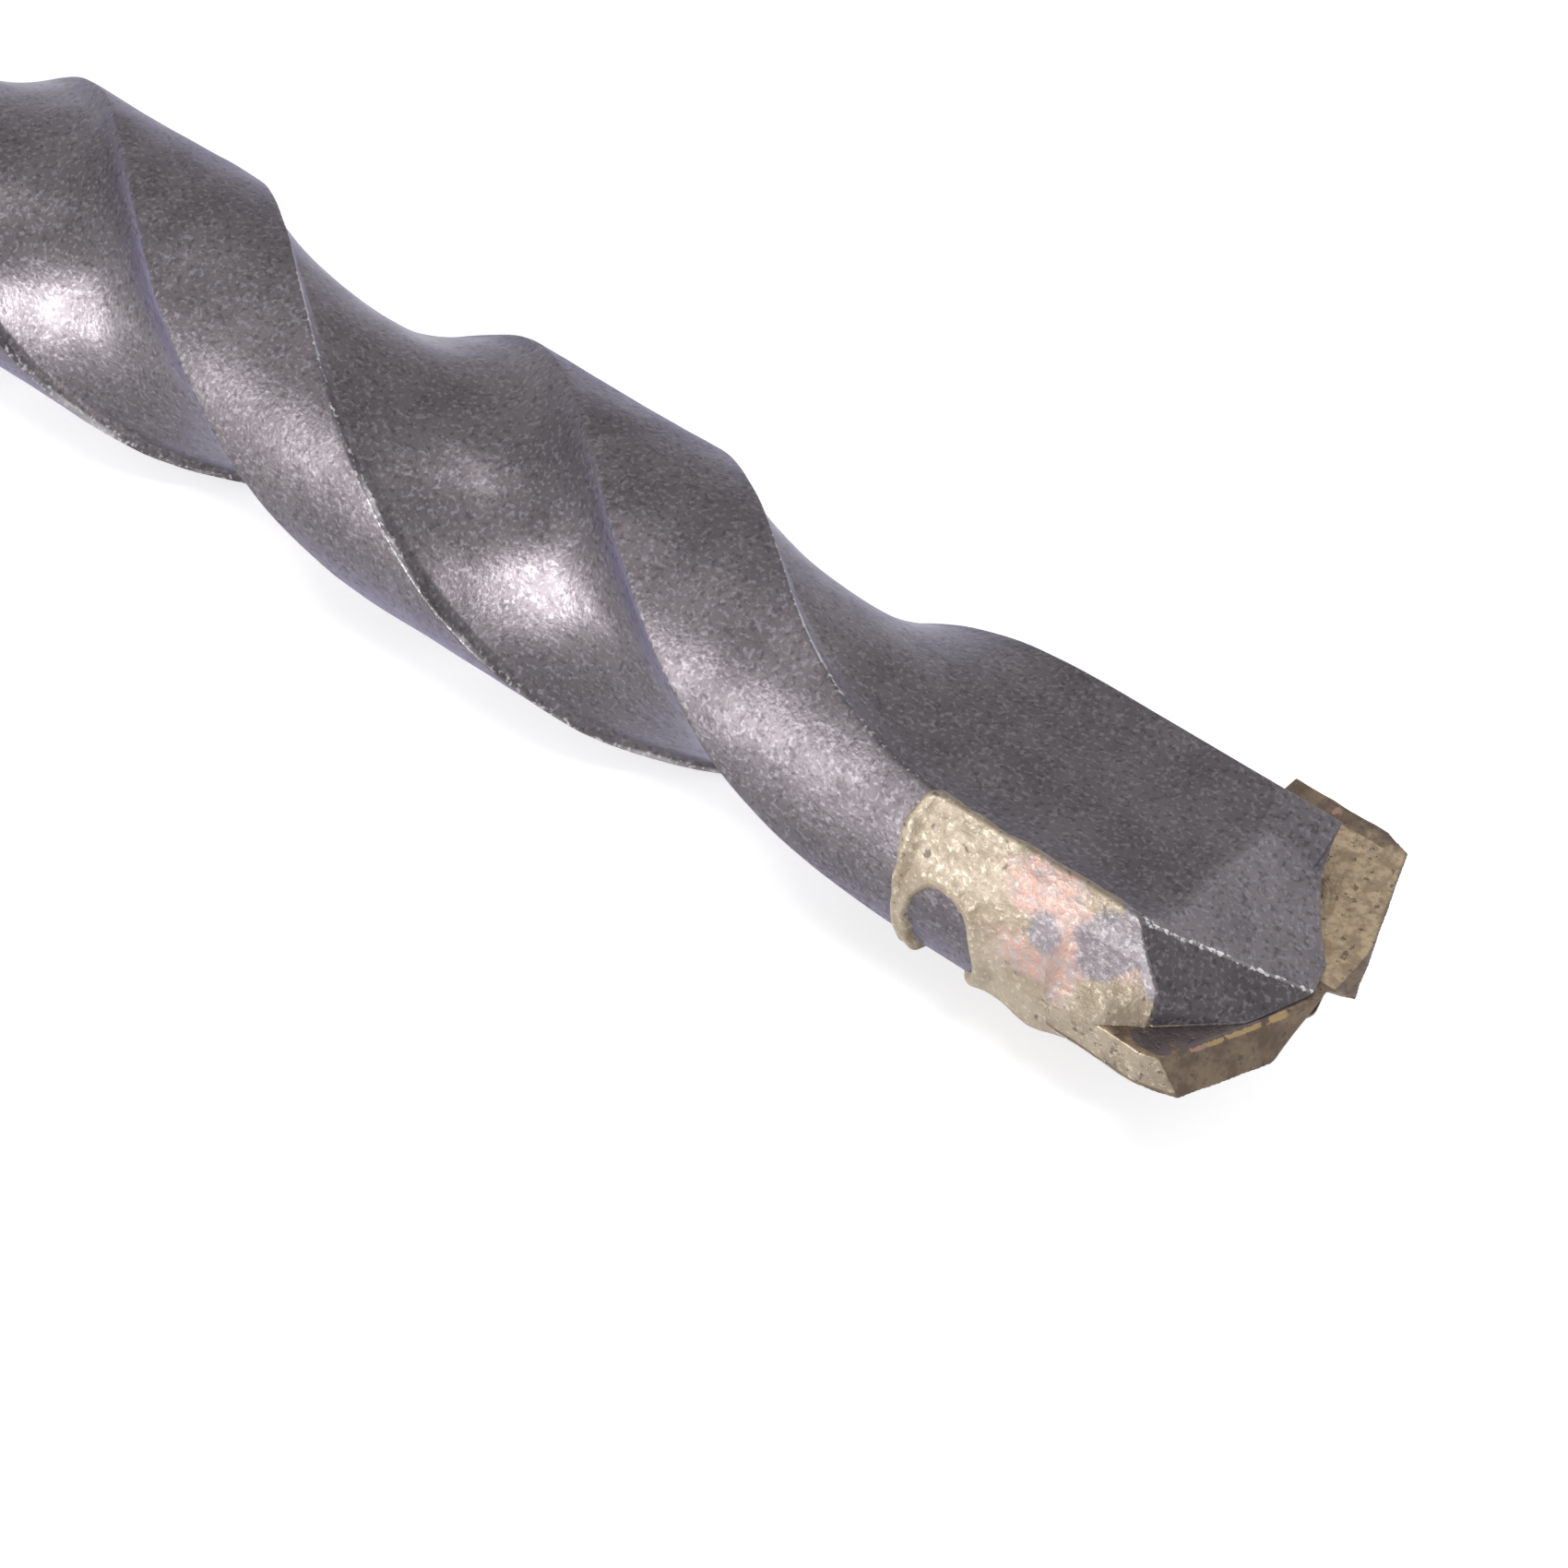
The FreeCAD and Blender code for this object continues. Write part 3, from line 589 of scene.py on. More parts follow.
def build_braze_patch(settings, body):
    """The filler on the land beside one ear: a closed pillow over the land.

    Its upper side stands off the land by a height that is under zero outside the patch and over
    the bare island, rises quickly to a rim inside its edge and falls to a thin layer. Behind the
    ear it sags into lumps, and beside the ear it fills the corner with a straight slope. In front
    it is ground flush with the steel.
    """
    x = np.linspace(-11.3, -0.1, 224)
    angle = np.radians(np.linspace(135, 238, 206))
    along, around = np.meshgrid(x, angle, indexing="ij")
    degrees = np.degrees(around)
    arc = (around - math.pi) * LAND
    patch, island, _, _ = filler_rooms(along, arc)
    flat = np.stack([along, arc, np.zeros_like(arc)], -1).reshape(-1, 3)
    wobble = rough_noise(flat, 1.1, 5, 3).reshape(along.shape)
    fine = rough_noise(flat, 0.4, 9, 2).reshape(along.shape)
    room = np.minimum(patch + wobble * 0.14, -(island + wobble * 0.12))
    thick, rim = settings.thickness / MM, settings.rim / MM
    rim = rim * ease((-1.8 - along) / 2.0)
    height = (thick + rim) * ease((room + 0.12) / 0.26) - rim * ease((room - 0.16) / 0.5)
    height += 0.025 * fine * ease(room / 0.2)
    sag = sum(share * np.exp(-((along + behind) / width) ** 2)
              for share, behind, width in ((0.45, 9.7, 1.1), (0.35, 7.4, 1.2), (0.9, 5.5, 1.0)))
    sag = sag * np.exp(-((degrees - 214) / 15) ** 2) * ease((patch + 0.2) / 0.6)
    height += settings.lump / MM * sag
    base = surface_radius(along + CORNER_X, around, body)
    # The corner beside the ear: the straight line from the land to the ear's side, as a radius
    start = polar(LAND, SLOPE_ANGLE)
    way = EAR_CORNER - start
    across = np.cos(around) * way[1] - np.sin(around) * way[0]
    line = (start[0] * way[1] - start[1] * way[0]) / np.where(np.abs(across) < 0.2, 0.2, across)
    beside = (degrees > SLOPE_ANGLE) & (degrees < EAR_ANGLE)
    slope = np.where(beside, np.clip(line - LAND, 0, 1), 0)
    height = height + slope * ease((along + 5.1) / 1.0) * ease((-1.2 - along) / 1.7)
    # Nothing inside the plate, below the ear, outside the patch or beyond the land's front edge
    front = land_front_angle(along + CORNER_X, body)
    edge_room = (around - front) * LAND + 0.04 + 0.05 * wobble
    below_ear = (degrees > EAR_ANGLE) & (along > -PLATE_DEPTH - 0.05)
    shown = ease((np.minimum(room, edge_room * 2) + 0.12) / 0.16) * ~below_ear
    height = height * shown - 0.12 * (1 - shown)
    points = spoke(base + height, around)
    spare = head_room(along + CORNER_X, points[..., 0], points[..., 1])
    points = clamp_to_head(x + CORNER_X, points)
    top = np.hypot(points[..., 0], points[..., 1]) - 0.15 * ease(-spare / 0.04)
    under = np.minimum(top, base) - 0.1
    grids = [np.concatenate([along[..., None] + CORNER_X, spoke(radius, around)], axis=2)
             for radius in (top, under)]
    rows, columns = along.shape
    size = rows * columns
    upper = grid_faces(rows, columns, False)
    lower = upper[:, ::-1] + size
    index = np.arange(size).reshape(rows, columns)
    rim_loop = np.concatenate([index[0, :-1], index[:-1, -1], index[-1, :0:-1], index[:0:-1, 0]])
    after = np.roll(rim_loop, -1)
    sides = np.stack([rim_loop, rim_loop + size, after + size, after], 1)
    return face_outwards(new_mesh("braze_patch", np.concatenate(grids).reshape(-1, 3) * MM,
                                  np.concatenate([upper, lower, sides])))


def build_braze_film():
    """The thin film on both sides of the plate and behind it: one outline for each station across.

    In front each side ends where the ground front of the steel does, found by 30 halvings.
    """
    w = np.linspace(-4.66, 4.66, 120)
    steady = np.ones(len(w))

    def front_at(lift):
        low, high = (0.1 - PLATE_DEPTH) * steady, 2.2 * steady
        side = np.clip(w * math.copysign(1, lift), 0, None)
        for _ in range(30):
            middle = (low + high) / 2
            inside = head_room(CORNER_X + middle, w, lift * steady) >= 0
            inside &= middle < gash_floor(side) + 0.03
            low, high = np.where(inside, middle, low), np.where(inside, high, middle)
        return CORNER_X + low

    upper, lower = front_at(HALF_SLOT), front_at(-HALF_SLOT)
    rear, back = CORNER_X - PLATE_DEPTH, CORNER_X - PLATE_DEPTH - FILM
    profile = [(upper, HALF_PLATE), (upper, HALF_SLOT), (back, HALF_SLOT), (back, -HALF_SLOT),
               (lower, -HALF_SLOT), (lower, -HALF_PLATE), (rear, -HALF_PLATE), (rear, HALF_PLATE)]
    return tube_across("braze_film", w, profile, [[7, 2, 1, 0], [7, 6, 3, 2], [6, 5, 4, 3]])


def surface_radius(x, angle, body):
    """Radius of the fluted steel at each x and angle, read off its smooth sections."""
    stations = x[:, 0]
    rows = flute_rows(stations, body)
    result = np.empty_like(x)
    for number in range(len(stations)):
        ring = rows[number]
        bearing = np.arctan2(ring[:, 1], ring[:, 0]) % TURN
        order = np.argsort(bearing)
        result[number] = np.interp(angle[number] % TURN, bearing[order],
                                   np.hypot(ring[:, 0], ring[:, 1])[order], period=TURN)
    return result


# ---- node helpers

def put_out(group, **sockets):
    """Give a node group its named outputs: a colour as a colour, and all else as numbers."""
    for label, socket in sockets.items():
        kind = "NodeSocketColor" if socket.type == "RGBA" else "NodeSocketFloat"
        group.interface.new_socket(label, in_out="OUTPUT", socket_type=kind)
    add(group, "NodeGroupOutput", sockets)
    return group


def feed(node, inputs):
    """Link sockets into a node's named or numbered inputs, or set them to numbers and colours."""
    for name, value in inputs.items():
        socket = node.inputs[name]
        if isinstance(value, bpy.types.NodeSocket):
            node.id_data.links.new(value, socket)
        else:
            socket.default_value = value + (1,) if socket.type == "RGBA" else value


def add(tree, kind, inputs=None, **settings):
    """Add a node, set its properties and feed its inputs."""
    node = tree.nodes.new(kind)
    for name, value in settings.items():
        setattr(node, name, value)
    feed(node, inputs or {})
    return node


def object_coords(tree):
    return add(tree, "ShaderNodeTexCoord").outputs["Object"]


def noise(coords, scale, detail, rough=0.6):
    return add(coords.id_data, "ShaderNodeTexNoise", {
        "Vector": coords, "Scale": scale, "Detail": detail, "Roughness": rough}).outputs["Fac"]


def ramp(value, low, high, start=0.0, end=1.0):
    """A value mapped smoothly from low..high to start..end."""
    return add(value.id_data, "ShaderNodeMapRange", {0: value, 1: low, 2: high, 3: start, 4: end},
               interpolation_type="SMOOTHSTEP").outputs[0]


def maths(operation, first, second):
    tree = (second if isinstance(first, (int, float)) else first).id_data
    return add(tree, "ShaderNodeMath", {0: first, 1: second}, operation=operation).outputs[0]


def times(first, second):
    return maths("MULTIPLY", first, second)


def plus(first, second):
    return maths("ADD", first, second)


def less(first, second):
    return maths("SUBTRACT", first, second)


def mix(share, first, second):
    """Blend two colours, given as sockets or as red, green and blue, by a socket's share."""
    return add(share.id_data, "ShaderNodeMix", {0: share, 6: first, 7: second},
               data_type="RGBA").outputs[2]


def paint(colour, share, strength, tint):
    """A tint over a colour, by a mask times a strength."""
    return mix(times(share, strength), colour, tint)


def attribute(tree, name):
    return add(tree, "ShaderNodeAttribute", attribute_name=name).outputs["Fac"]


def new_material(name):
    material = bpy.data.materials.new(name)
    material.use_nodes = True
    return material, material.node_tree, material.node_tree.nodes["Principled BSDF"]


def blast_group():
    """Grain of sand-blasted metal: its height, a light speckle, a dark speckle and slow clouds."""
    group = bpy.data.node_groups.new("blast_grain", "ShaderNodeTree")
    coords = object_coords(group)
    coarse, fine = noise(coords, 3800, 2.0), noise(coords, 9500, 2.0)
    cells = add(group, "ShaderNodeTexVoronoi", {"Vector": coords, "Scale": 6500})
    height = plus(times(coarse, 0.35), times(fine, 0.45))
    return put_out(
        group, Height=plus(height, times(cells.outputs["Distance"], 0.25)),
        Light=ramp(noise(coords, 6200, 1.0), 0.50, 0.72),
        Dark=ramp(noise(coords, 4600, 1.5), 0.50, 0.30),
        Cloud=ramp(noise(coords, 420, 3.0), 0.3, 0.7))


def filler_group():
    """Run-out filler: its gold to brown colour with dark pits, and its height."""
    group = bpy.data.node_groups.new("filler_look", "ShaderNodeTree")
    coords = object_coords(group)
    slow, grain = noise(coords, 900, 3.0), noise(coords, 5200, 2.5)
    pits = ramp(noise(coords, 2600, 2.0, 0.55), 0.36, 0.28)
    colour = mix(ramp(slow, 0.35, 0.65), (0.205, 0.163, 0.112), (0.275, 0.229, 0.170))
    colour = mix(ramp(grain, 0.55, 0.72, 0.0, 0.6), colour, (0.50, 0.44, 0.345))
    return put_out(group, Color=paint(colour, pits, 0.75, (0.05, 0.036, 0.028)), Height=grain)


def use_group(tree, group):
    return add(tree, "ShaderNodeGroup", node_tree=group).outputs


def bump(shader, height, distance, strength):
    node = add(height.id_data, "ShaderNodeBump", {
        "Height": height, "Distance": distance, "Strength": strength})
    feed(shader, {"Normal": node.outputs[0]})


def head_group():
    """Marks of the ground front: its bevels for painted shade, its ramps for painted light and the
    ridge between the two for a painted highlight.

    Each facet's room is the depth below its plane, as in head_room, for both jaws; the lesser room
    tells which facet a place is on, and the ridge is where both are near zero.
    """
    group = bpy.data.node_groups.new("head_marks", "ShaderNodeTree")
    coords = add(group, "ShaderNodeVectorMath", {
        0: object_coords(group), 1: (CORNER_X * MM, 0, 0)}, operation="SUBTRACT").outputs["Vector"]
    jaws = []
    for way in (1, -1):
        rooms = []
        for facet, depth in ((BEVEL, BEVEL_DEPTH[way]), (RAMP, RAMP_DEPTH)):
            normal = (facet[0] / MM, facet[1] / MM * way, facet[2] / MM * way)
            reach = add(group, "ShaderNodeVectorMath", {0: coords, 1: normal},
                        operation="DOT_PRODUCT")
            rooms.append(less(depth, reach.outputs["Value"]))
        on_bevel, on_ramp = (
            times(ramp(room, 0.12, 0.06), ramp(less(other, room), 0.0, 0.03))
            for room, other in (rooms, rooms[::-1]))
        apart = maths("ABSOLUTE", less(*rooms), 0)
        ridge = times(ramp(apart, 0.055, 0.015), ramp(maths("MAXIMUM", *rooms), 0.16, 0.1))
        jaws.append((ridge, on_bevel, on_ramp))
    ridge, bevel, slope = (maths("MAXIMUM", *pair) for pair in zip(*jaws))
    return put_out(group, Ridge=ridge, Bevel=bevel, Ramp=slope)


def steel_material(grain, head):
    """Dark sand-blasted steel, worn bright along the lands' front edges, with a painted lilac sheen
    below and at grazing angles, a fainter lilac towards the tip, painted shade and light on the
    ground front's facets and a painted ridge highlight.
    """
    material, tree, shader = new_material("blasted_steel")
    looks, marks = use_group(tree, grain), use_group(tree, head)
    cloud, light = looks["Cloud"], looks["Light"]
    colour = mix(cloud, (0.088, 0.0775, 0.084), (0.118, 0.105, 0.113))
    # Painted lilac sheen on the lower front, standing in for bluish light from below, and a fainter
    # lilac towards the tip
    heat = ramp(attribute(tree, "heat"), 0.0, 1.0)
    colour = paint(colour, heat, 0.8, (0.150, 0.138, 0.205))
    # Painted lilac sheen at grazing angles, standing in for bluish light reflected along the rims
    grazing_sheen = add(tree, "ShaderNodeLayerWeight", {"Blend": 0.42}).outputs["Facing"]
    colour = mix(ramp(grazing_sheen, 0.35, 0.95, 0.0, 0.7), colour, (0.21, 0.20, 0.33))
    # Painted shade on the bevels, which face away from the light, and painted light on the ramps;
    # then the dark and light speckles of the grain
    for share, strength, tint in (
            (marks["Bevel"], 0.25, (0.05, 0.040, 0.040)), (marks["Ramp"], 0.4, (0.17, 0.152, 0.168)),
            (looks["Dark"], 0.6, (0.048, 0.041, 0.045)), (light, 0.42, (0.25, 0.235, 0.255))):
        colour = paint(colour, share, strength, tint)
    broken = plus(times(light, 0.5), times(cloud, 0.45))
    ragged = times(attribute(tree, "edge"), plus(broken, 0.55))
    # Painted highlight along the ridge between bevel and ramp; worn joins it with the worn bright
    # front edges of the lands
    ridge = times(marks["Ridge"], plus(light, 0.6))
    worn = ramp(maths("MAXIMUM", ragged, ridge), 0.45, 0.95)
    colour = paint(colour, worn, 0.8, (0.50, 0.485, 0.49))
    polish = attribute(tree, "polish")
    rough = less(ramp(cloud, 0.0, 1.0, 0.58, 0.50), times(polish, 0.155))
    feed(shader, {"Base Color": colour, "Metallic": 0.85,
                  "Roughness": less(rough, times(worn, 0.12))})
    bump(shader, looks["Height"], 0.00004, less(0.8, times(polish, 0.45)))
    return material


def carbide_material(filler):
    """Ground carbide under bronze-brown and gold stains, darker on the worn front and with pits,
    steel-grey where the bevel runs on, with painted shade in the hollow by the ear.
    """
    material, tree, shader = new_material("stained_carbide")
    coords = object_coords(tree)
    looks = use_group(tree, filler)
    streak = noise(coords, 1500, 4.0, 0.65)
    uneven = less(streak, 0.5)
    brown = mix(ramp(streak, 0.35, 0.65), (0.105, 0.074, 0.052), (0.19, 0.14, 0.095))
    share = ramp(plus(attribute(tree, "gold"), times(uneven, 1.1)), 0.35, 0.75)
    blotch = mix(ramp(noise(coords, 2400, 3.0, 0.65), 0.38, 0.62),
                 (0.28, 0.20, 0.12), (0.55, 0.42, 0.26))
    warm = mix(less(0.65, times(attribute(tree, "side"), 0.65)), looks["Color"], blotch)
    speck = ramp(noise(coords, 4200, 2.0), 0.40, 0.30)
    colour = paint(mix(share, brown, warm), speck, 0.7, (0.07, 0.055, 0.05))
    rim = ramp(attribute(tree, "rim"), 0.2, 1.0)
    colour = paint(colour, rim, 0.7, (0.075, 0.056, 0.062))
    seep = times(attribute(tree, "seep"), ramp(streak, 0.36, 0.5))
    pink = times(attribute(tree, "pink"), ramp(streak, 0.40, 0.58))
    for mask, low, high, most, tint in (
            (seep, 0.2, 0.7, 1.0, (0.36, 0.25, 0.12)), (pink, 0.15, 0.8, 0.75, (0.38, 0.22, 0.17)),
            (attribute(tree, "bright"), 0.2, 0.9, 0.8, (0.55, 0.53, 0.52))):
        colour = mix(ramp(mask, low, high, 0.0, most), colour, tint)
    # Steel-grey zone that carries the bevel on over the plate, and painted shade in the hollow by
    # the ear
    bevel_grey_and_hollow_shade = ramp(plus(attribute(tree, "bevel_grey_and_hollow_shade"), times(uneven, 0.5)), 0.3, 0.6)
    colour = paint(colour, bevel_grey_and_hollow_shade, 0.85, (0.088, 0.072, 0.080))
    feed(shader, {"Base Color": colour, "Metallic": 0.55, "Roughness": 0.46})
    bump(shader, less(looks["Height"], times(speck, 0.8)), 0.00004, 0.8)
    return material


def filler_material(filler, grain):
    """Gold filler with coppery stains and bare grey steel spots, all with ragged edges."""
    material, tree, shader = new_material("brazing_filler")
    coords = object_coords(tree)
    looks, steel = use_group(tree, filler), use_group(tree, grain)
    ragged = times(less(noise(coords, 1500, 4.0, 0.65), 0.5), 1.6)
    copper = ramp(plus(attribute(tree, "copper"), ragged), -0.05, 0.45)
    bare = ramp(plus(attribute(tree, "bare"), times(ragged, 0.5)), -0.12, 0.2)
    pink = mix(ramp(noise(coords, 3300, 3.0), 0.4, 0.6),
               (0.37, 0.215, 0.185), (0.30, 0.24, 0.24))
    grey = mix(steel["Light"], (0.138, 0.124, 0.138), (0.262, 0.243, 0.258))
    colour = paint(paint(looks["Color"], copper, 0.7, pink), bare, 0.9, grey)
    feed(shader, {"Base Color": colour, "Metallic": 0.3,
                  "Roughness": ramp(looks["Height"], 0.3, 0.7, 0.60, 0.46)})
    bump(shader, looks["Height"], 0.00005, 0.8)
    return material


def shared_group(name, build):
    return bpy.data.node_groups.get(name) or build()


# ---- operators

def finish_piece(piece, node, material):
    piece.data.materials.clear()
    piece.data.materials.append(material)
    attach(piece, "root")
    if node:
        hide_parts(node)


def steel_marks(points, body):
    """Where the steel is worn bright, tinted lilac, or polished, at points in millimetres.

    edge is a bell across a land's front edge; heat is a painted sheen, a smooth
    step towards the lower front that stands in for bluish light from below, with a fainter lilac
    step towards the tip; polish is a smooth step down into the flutes.
    """
    x, y, z = points.T
    reach = np.hypot(y, z)
    offset = np.arctan2(z, y) - land_front_angle(x, body)
    away = np.abs((offset + math.pi / 2) % math.pi - math.pi / 2) * LAND
    stem = ease((4.6 - reach) / 0.5) * ease((150 - x) / 10) * ease((x - 66) / 4)
    return {
        "edge": 0.8 * np.exp(-(away / 0.075) ** 2) * ease((reach - 4.3) / 0.3) * ease((x - 70) / 4),
        # Painted lilac sheen towards the lower front for bluish light from below, and a fainter
        # lilac towards the tip
        "heat": np.maximum(0.8 * ease((-y * 0.75 - z * 0.65) / 4.8), 0.25 * ease((x - 149) / 8)),
        "polish": stem * (0.7 + 0.3 * ease((x - 95) / 20)),
    }


def wear_plate(mesh, settings):
    """Wear the plate's surface, and hand back its points in millimetres and its first normals.

    Each point moves along its normal by soft noise less nicks, which lie where a finer noise is
    high, and the lower side of the plate's point goes back by a bell of 0.22 mm.
    """
    points = mesh_points(mesh)
    normal = np.empty(len(points) * 3, dtype=np.float32)
    mesh.vertex_normals.foreach_get("vector", normal)
    normal = normal.reshape(-1, 3)
    flat = points / MM
    wear = rough_noise(flat, 0.7, 31, 3) * settings.wear * 0.5 - settings.wear * 0.35
    nick = np.clip(value_noise(flat, 0.33, 77) - 0.45, 0, None) * settings.wear * 1.2
    points = points + normal * (wear - nick)[:, None]
    blunt = 0.22 * np.exp(-(flat[:, 1] / 0.8) ** 2) * ease((0.2 - flat[:, 2]) / 0.8)
    points[:, 0] -= blunt * ease((flat[:, 0] - 158.9) / 0.8) * MM
    low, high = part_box("carbide_plate")
    points = np.clip(points, np.array(low), np.array(high))
    mesh.vertices.foreach_set("co", points.astype(np.float32).ravel())
    mesh.update()
    return points / MM, normal


def plate_marks(points, normal):
    """How gold, dark, pink or bright the plate is, where it is steel-grey and where it takes painted
    shade, as products of smooth steps.

    w is the way across the plate, n the way off its middle plane and ahead the way in front of
    its corners. flank is how squarely a point looks off a broad face, and side how squarely it
    looks off the worn ear's side.
    """
    w, n, ahead = points[:, 1], points[:, 2], points[:, 0] - CORNER_X
    flank = np.clip(normal[:, 2] * np.where(n > 0, 1, -1), 0, 1)
    side = ease((np.clip(-normal[:, 1], 0, 1) * (w < -5) - 0.5) / 0.3)
    upper = n > 0.6
    gold = np.where(w * n > 0, 0.8, 0.2) * ease((flank - 0.6) / 0.3) + 0.12
    gold -= 0.6 * ease((w - 5.45) / 0.12) * ease((-0.3 - ahead) / 0.5) * (n > 0.5)
    top = EDGE_PEAK - EDGE_SLOPE * np.abs(w)
    rim = np.maximum(ease((ahead - top + 0.22) / 0.2) * (flank > 0.5),
                     ease((np.abs(w) - 5.4) / 0.7) * ease((ahead + 1.6) / 1.2))
    bare = ease((ahead - 1.56 + 0.04 * w * w) / 0.06) * (w > 0.02) * upper * (flank > 0.4)
    seam = gash_floor(w) - 0.03
    seep = ease((n - 0.42) / 0.1) * ease((normal[:, 0] - 0.12) / 0.1)
    seep *= ease((-w - 1.4) / 0.4) * ease((w + 4.7) / 0.2)
    pink = np.maximum.reduce([
        ease((ahead - seam + 0.15) / 0.1) * ease((seam + 0.3 - ahead) / 0.25) * (w > 2.4) * upper,
        1.6 * ease((0.45 - np.hypot(ahead + 2.15, w - 5.3)) / 0.25) * upper,
        1.5 * seep * ease((-w - 3.9) / 0.3)])
    # Steel-grey zone beside the bevel, carried on over the plate's face
    behind = ease((1.50 + 0.28 * w - ahead) / 0.1) * ease((-w - 0.6) / 0.4) * ease((w + 4.9) / 0.3)
    # Painted shade in the hollow between the filler's front end and the ear
    hollow = 1.4 * ease((1 - np.hypot((ahead + 1.0) / 0.8, (w + 5.1) / 0.4)) / 0.4)
    return {
        "gold": np.maximum(gold, side * ease((n + 0.62) / 0.2)), "side": side, "pink": pink,
        "rim": np.maximum(rim, 1.3 * bare), "seep": seep * ease((w + 4.2) / 0.3),
        "bright": ease((-w - 5.5) / 0.12) * ease((-n - 0.56) / 0.06) * ease((0.3 - ahead) / 0.3),
        "bevel_grey_and_hollow_shade": np.where(upper & (flank > 0.5), np.maximum(behind, hollow), 0),
    }


class DRILLBIT_OT_body(Operator):
    """Build the twisted steel body and its sand-blasted finish"""
    bl_idname = "drillbit.body"
    bl_label = "Drill body"

    def execute(self, context):
        body = context.scene.drillbit_body
        mesh = build_drill_body(body)
        mesh.name = "drill_steel"
        store(mesh, steel_marks(mesh_points(mesh) / MM, body))
        shade(mesh, 45)
        piece = put_in_scene(mesh, "drill_steel")
        finish_piece(piece, "drill_body", steel_material(
            shared_group("blast_grain", blast_group), shared_group("head_marks", head_group)))
        return {"FINISHED"}


class DRILLBIT_OT_plate(Operator):
    """Build the worn carbide plate"""
    bl_idname = "drillbit.plate"
    bl_label = "Carbide plate"

    def execute(self, context):
        settings = context.scene.drillbit_plate
        piece = put_in_scene(merged_copy("carbide_plate", "worn_plate_blank"), "worn_plate")
        remesh = piece.modifiers.new("worn", "REMESH")
        remesh.mode = "VOXEL"
        remesh.voxel_size = settings.voxel
        smooth = piece.modifiers.new("round", "SMOOTH")
        smooth.iterations = 3
        mesh = finished_mesh(piece)
        piece.modifiers.clear()
        piece.data = mesh
        mesh.name = "worn_plate"
        store(mesh, plate_marks(*wear_plate(mesh, settings)))
        mesh.shade_smooth()
        finish_piece(piece, "carbide_plate", carbide_material(
            shared_group("filler_look", filler_group)))
        return {"FINISHED"}


class DRILLBIT_OT_braze(Operator):
    """Build the filler: the film round the plate and the patch that ran out over the land"""
    bl_idname = "drillbit.braze"
    bl_label = "Brazing filler"

    def execute(self, context):
        settings, body = context.scene.drillbit_braze, context.scene.drillbit_body
        material = filler_material(shared_group("filler_look", filler_group),
                                   shared_group("blast_grain", blast_group))
        film = put_in_scene(build_braze_film(), "braze_film")
        patch = put_in_scene(build_braze_patch(settings, body), "braze_patch")
        for piece, node, angle in ((film, "braze_joint", 30), (patch, None, 60)):
            points = mesh_points(piece.data) / MM
            around = np.arctan2(points[:, 2], points[:, 1]) % TURN
            rooms = filler_rooms(points[:, 0] - CORNER_X, (around - math.pi) * LAND)
            store(piece.data, {"copper": rooms[2], "bare": rooms[3]})
            shade(piece.data, angle)
            finish_piece(piece, node, material)
        return {"FINISHED"}


# The camera's right, up and back directions
CAMERA_AXES = ((0.76129, 0.64715, 0.04031), (-0.47239, 0.51097, 0.71817),
               (0.44417, -0.56578, 0.69470))


class DRILLBIT_OT_studio(Operator):
    """Set up the floor, the soft lights and the camera"""
    bl_idname = "drillbit.studio"
    bl_label = "Studio"

    def execute(self, context):
        scene = context.scene
        settings = scene.drillbit_studio
        scene.view_settings.view_transform = "Standard"
        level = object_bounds()[0][2]
        corners = [(1.6 * x, 1.6 * y, level) for x, y in ((-1, -1), (1, -1), (1, 1), (-1, 1))]
        mesh = bpy.data.meshes.new("floor")
        mesh.from_pydata(corners, [], [(0, 1, 2, 3)])
        floor = put_in_scene(mesh, "floor")
        floor.data.materials.append(floor_material())
        floor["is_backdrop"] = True
        white_world(scene)
        aim = (0.13, 0, 0)
        for name, place, size, power in (
                ("key", (0.0, -0.39, 0.06), 0.13, settings.key_power),
                ("top", (-0.01, -0.11, 0.42), 0.10, settings.fill_power),
                ("front", (0.29, 0.32, 0.24), 0.25, settings.fill_power * 0.8)):
            lamp = bpy.data.lights.new(name, "AREA")
            lamp.size = size
            lamp.energy = power
            holder = bpy.data.objects.new(name, lamp)
            holder.location = place
            holder.rotation_euler = look_at(place, aim)
            scene.collection.objects.link(holder)
        camera = bpy.data.cameras.new("camera")
        camera.lens = settings.lens
        camera.sensor_width = 36
        camera.sensor_fit = "HORIZONTAL"
        camera.clip_start = 0.01
        holder = bpy.data.objects.new("camera", camera)
        turn = Matrix(CAMERA_AXES).transposed()
        holder.matrix_world = Matrix.Translation(settings.camera_place) @ turn.to_4x4()
        scene.collection.objects.link(holder)
        scene.camera = holder
        return {"FINISHED"}


def look_at(place, aim):
    return (Vector(aim) - Vector(place)).to_track_quat("-Z", "Y").to_euler()


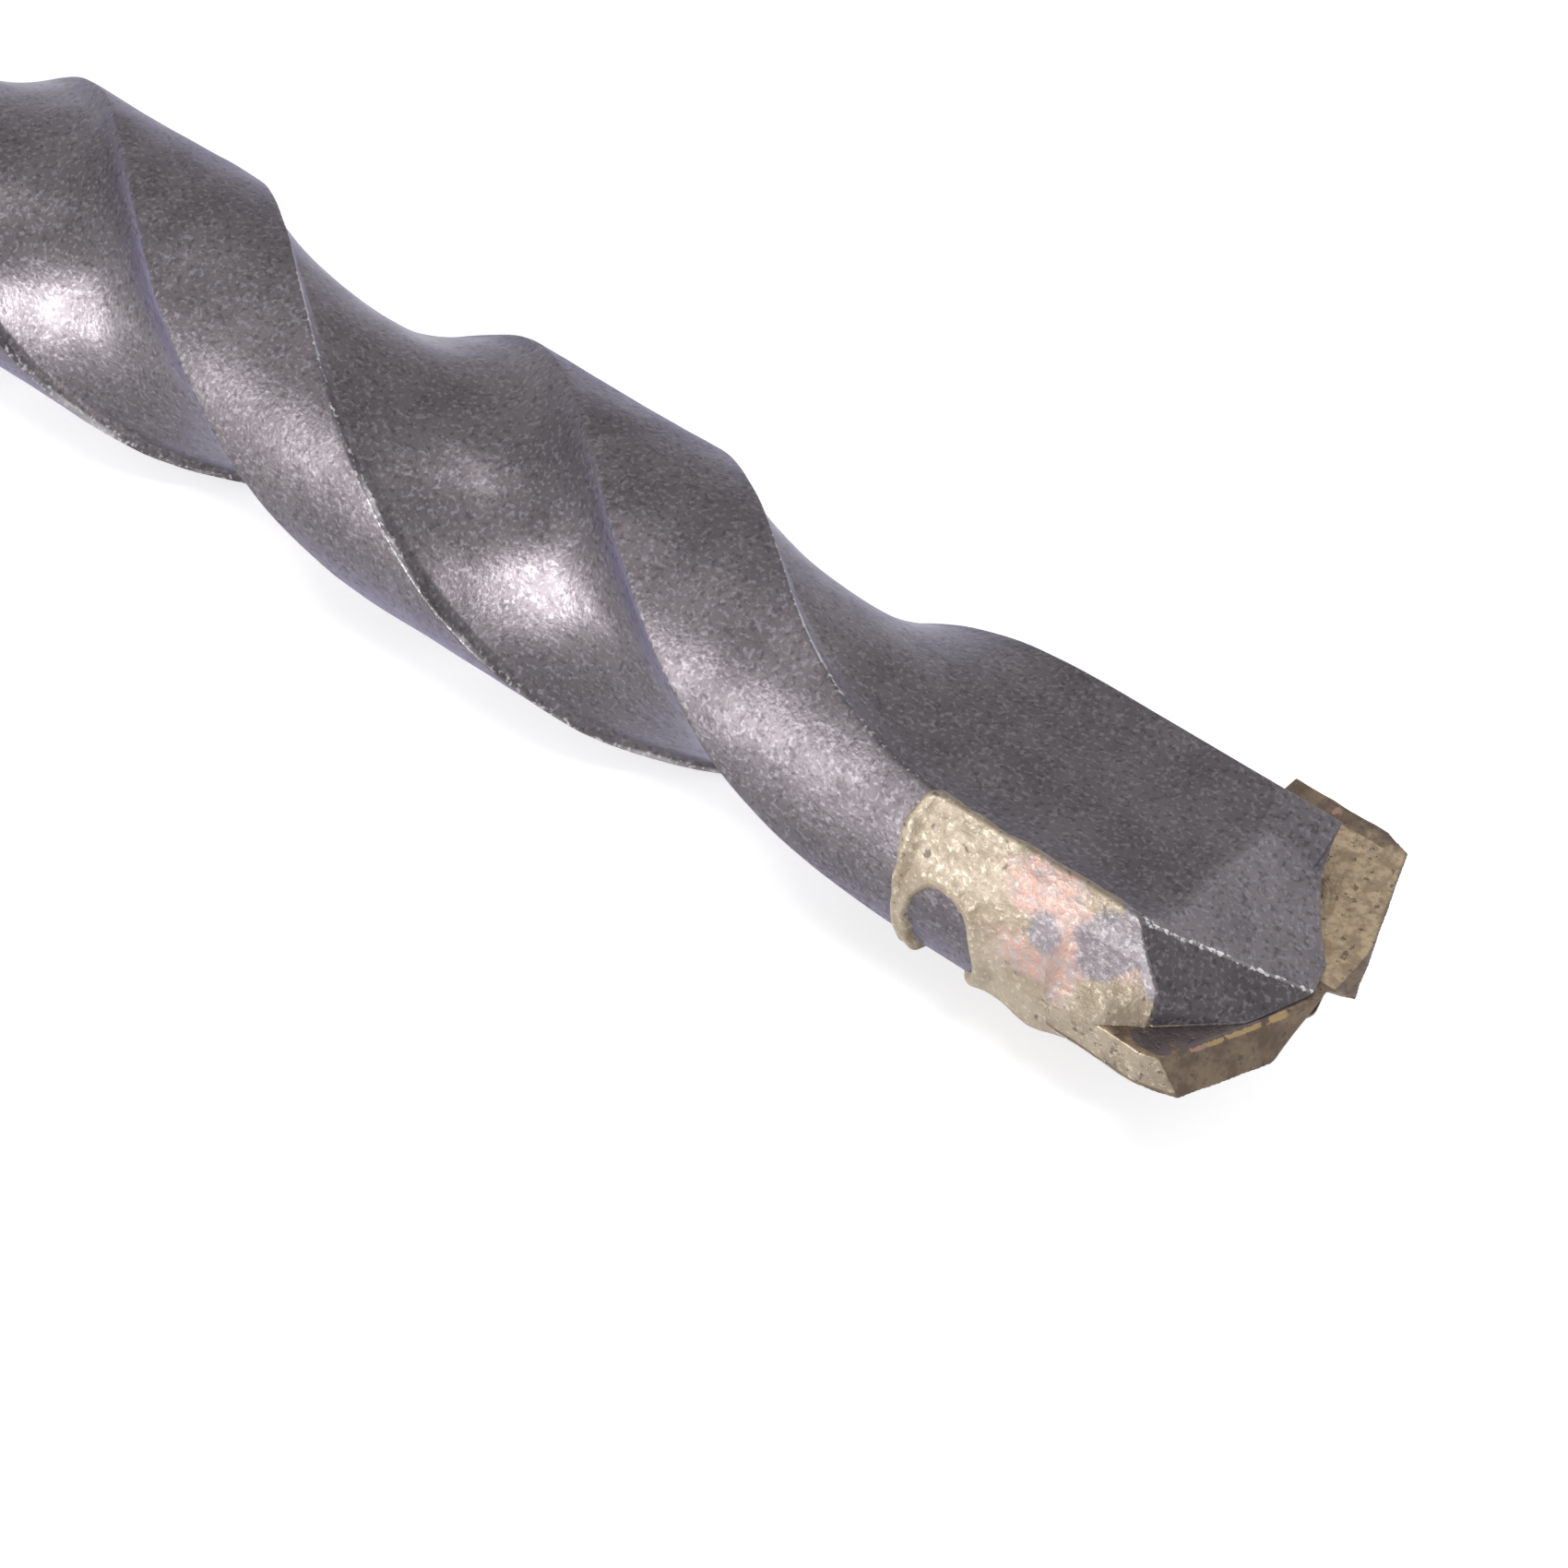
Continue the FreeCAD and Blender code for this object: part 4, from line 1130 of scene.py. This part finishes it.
def seen_directly(tree):
    """1 for rays that the eye, a mirror or glass sends out, and 0 for those that carry light."""
    path = add(tree, "ShaderNodeLightPath")
    seen = maths("MAXIMUM", path.outputs["Is Camera Ray"], path.outputs["Is Glossy Ray"])
    return maths("MAXIMUM", seen, path.outputs["Is Transmission Ray"])


def floor_material():
    """Matt white floor that shows as plain white, less its shadow, to the eye and to mirrors."""
    material, tree, shader = new_material("floor_white")
    feed(shader, {"Base Color": (0.9, 0.9, 0.9), "Roughness": 0.9, "Emission Color": (1, 1, 1),
                  "Emission Strength": times(seen_directly(tree), 0.5)})
    return material


def white_world(scene):
    """White where the camera looks past the floor, and a level grey for light."""
    world = bpy.data.worlds.new("studio")
    world.use_nodes = True
    tree = world.node_tree
    colour = mix(seen_directly(tree), (0.45, 0.45, 0.47), (1.0, 1.0, 1.0))
    feed(tree.nodes["Background"], {"Color": colour})
    scene.world = world


class DRILLBIT_PT_sidebar(Panel):
    """Sizes and buttons for the drill bit."""
    bl_idname = "DRILLBIT_PT_sidebar"
    bl_label = "Masonry Drill Bit"
    bl_space_type = "VIEW_3D"
    bl_region_type = "UI"
    bl_category = "Drill Bit"

    def draw(self, context):
        for name, _ in POINTERS:
            settings = getattr(context.scene, name)
            column = self.layout.column(align=True)
            for field in settings.bl_rna.properties.keys():
                if field not in ("rna_type", "name"):
                    column.prop(settings, field)
            self.layout.operator(name.replace("_", "."))


CLASSES = (DrillBodySettings, CarbidePlateSettings, BrazeJointSettings, StudioSettings,
           DRILLBIT_OT_body, DRILLBIT_OT_plate, DRILLBIT_OT_braze, DRILLBIT_OT_studio,
           DRILLBIT_PT_sidebar)
POINTERS = (("drillbit_body", DrillBodySettings), ("drillbit_plate", CarbidePlateSettings),
            ("drillbit_braze", BrazeJointSettings), ("drillbit_studio", StudioSettings))


def register():
    for item in CLASSES:
        bpy.utils.register_class(item)
    for name, kind in POINTERS:
        setattr(bpy.types.Scene, name, PointerProperty(type=kind))


def unregister():
    for name, _ in POINTERS:
        delattr(bpy.types.Scene, name)
    for item in reversed(CLASSES):
        bpy.utils.unregister_class(item)


def main():
    register()
    bpy.ops.drillbit.body()
    bpy.ops.drillbit.plate()
    bpy.ops.drillbit.braze()
    bpy.ops.drillbit.studio()


if __name__ == "__main__":
    main()
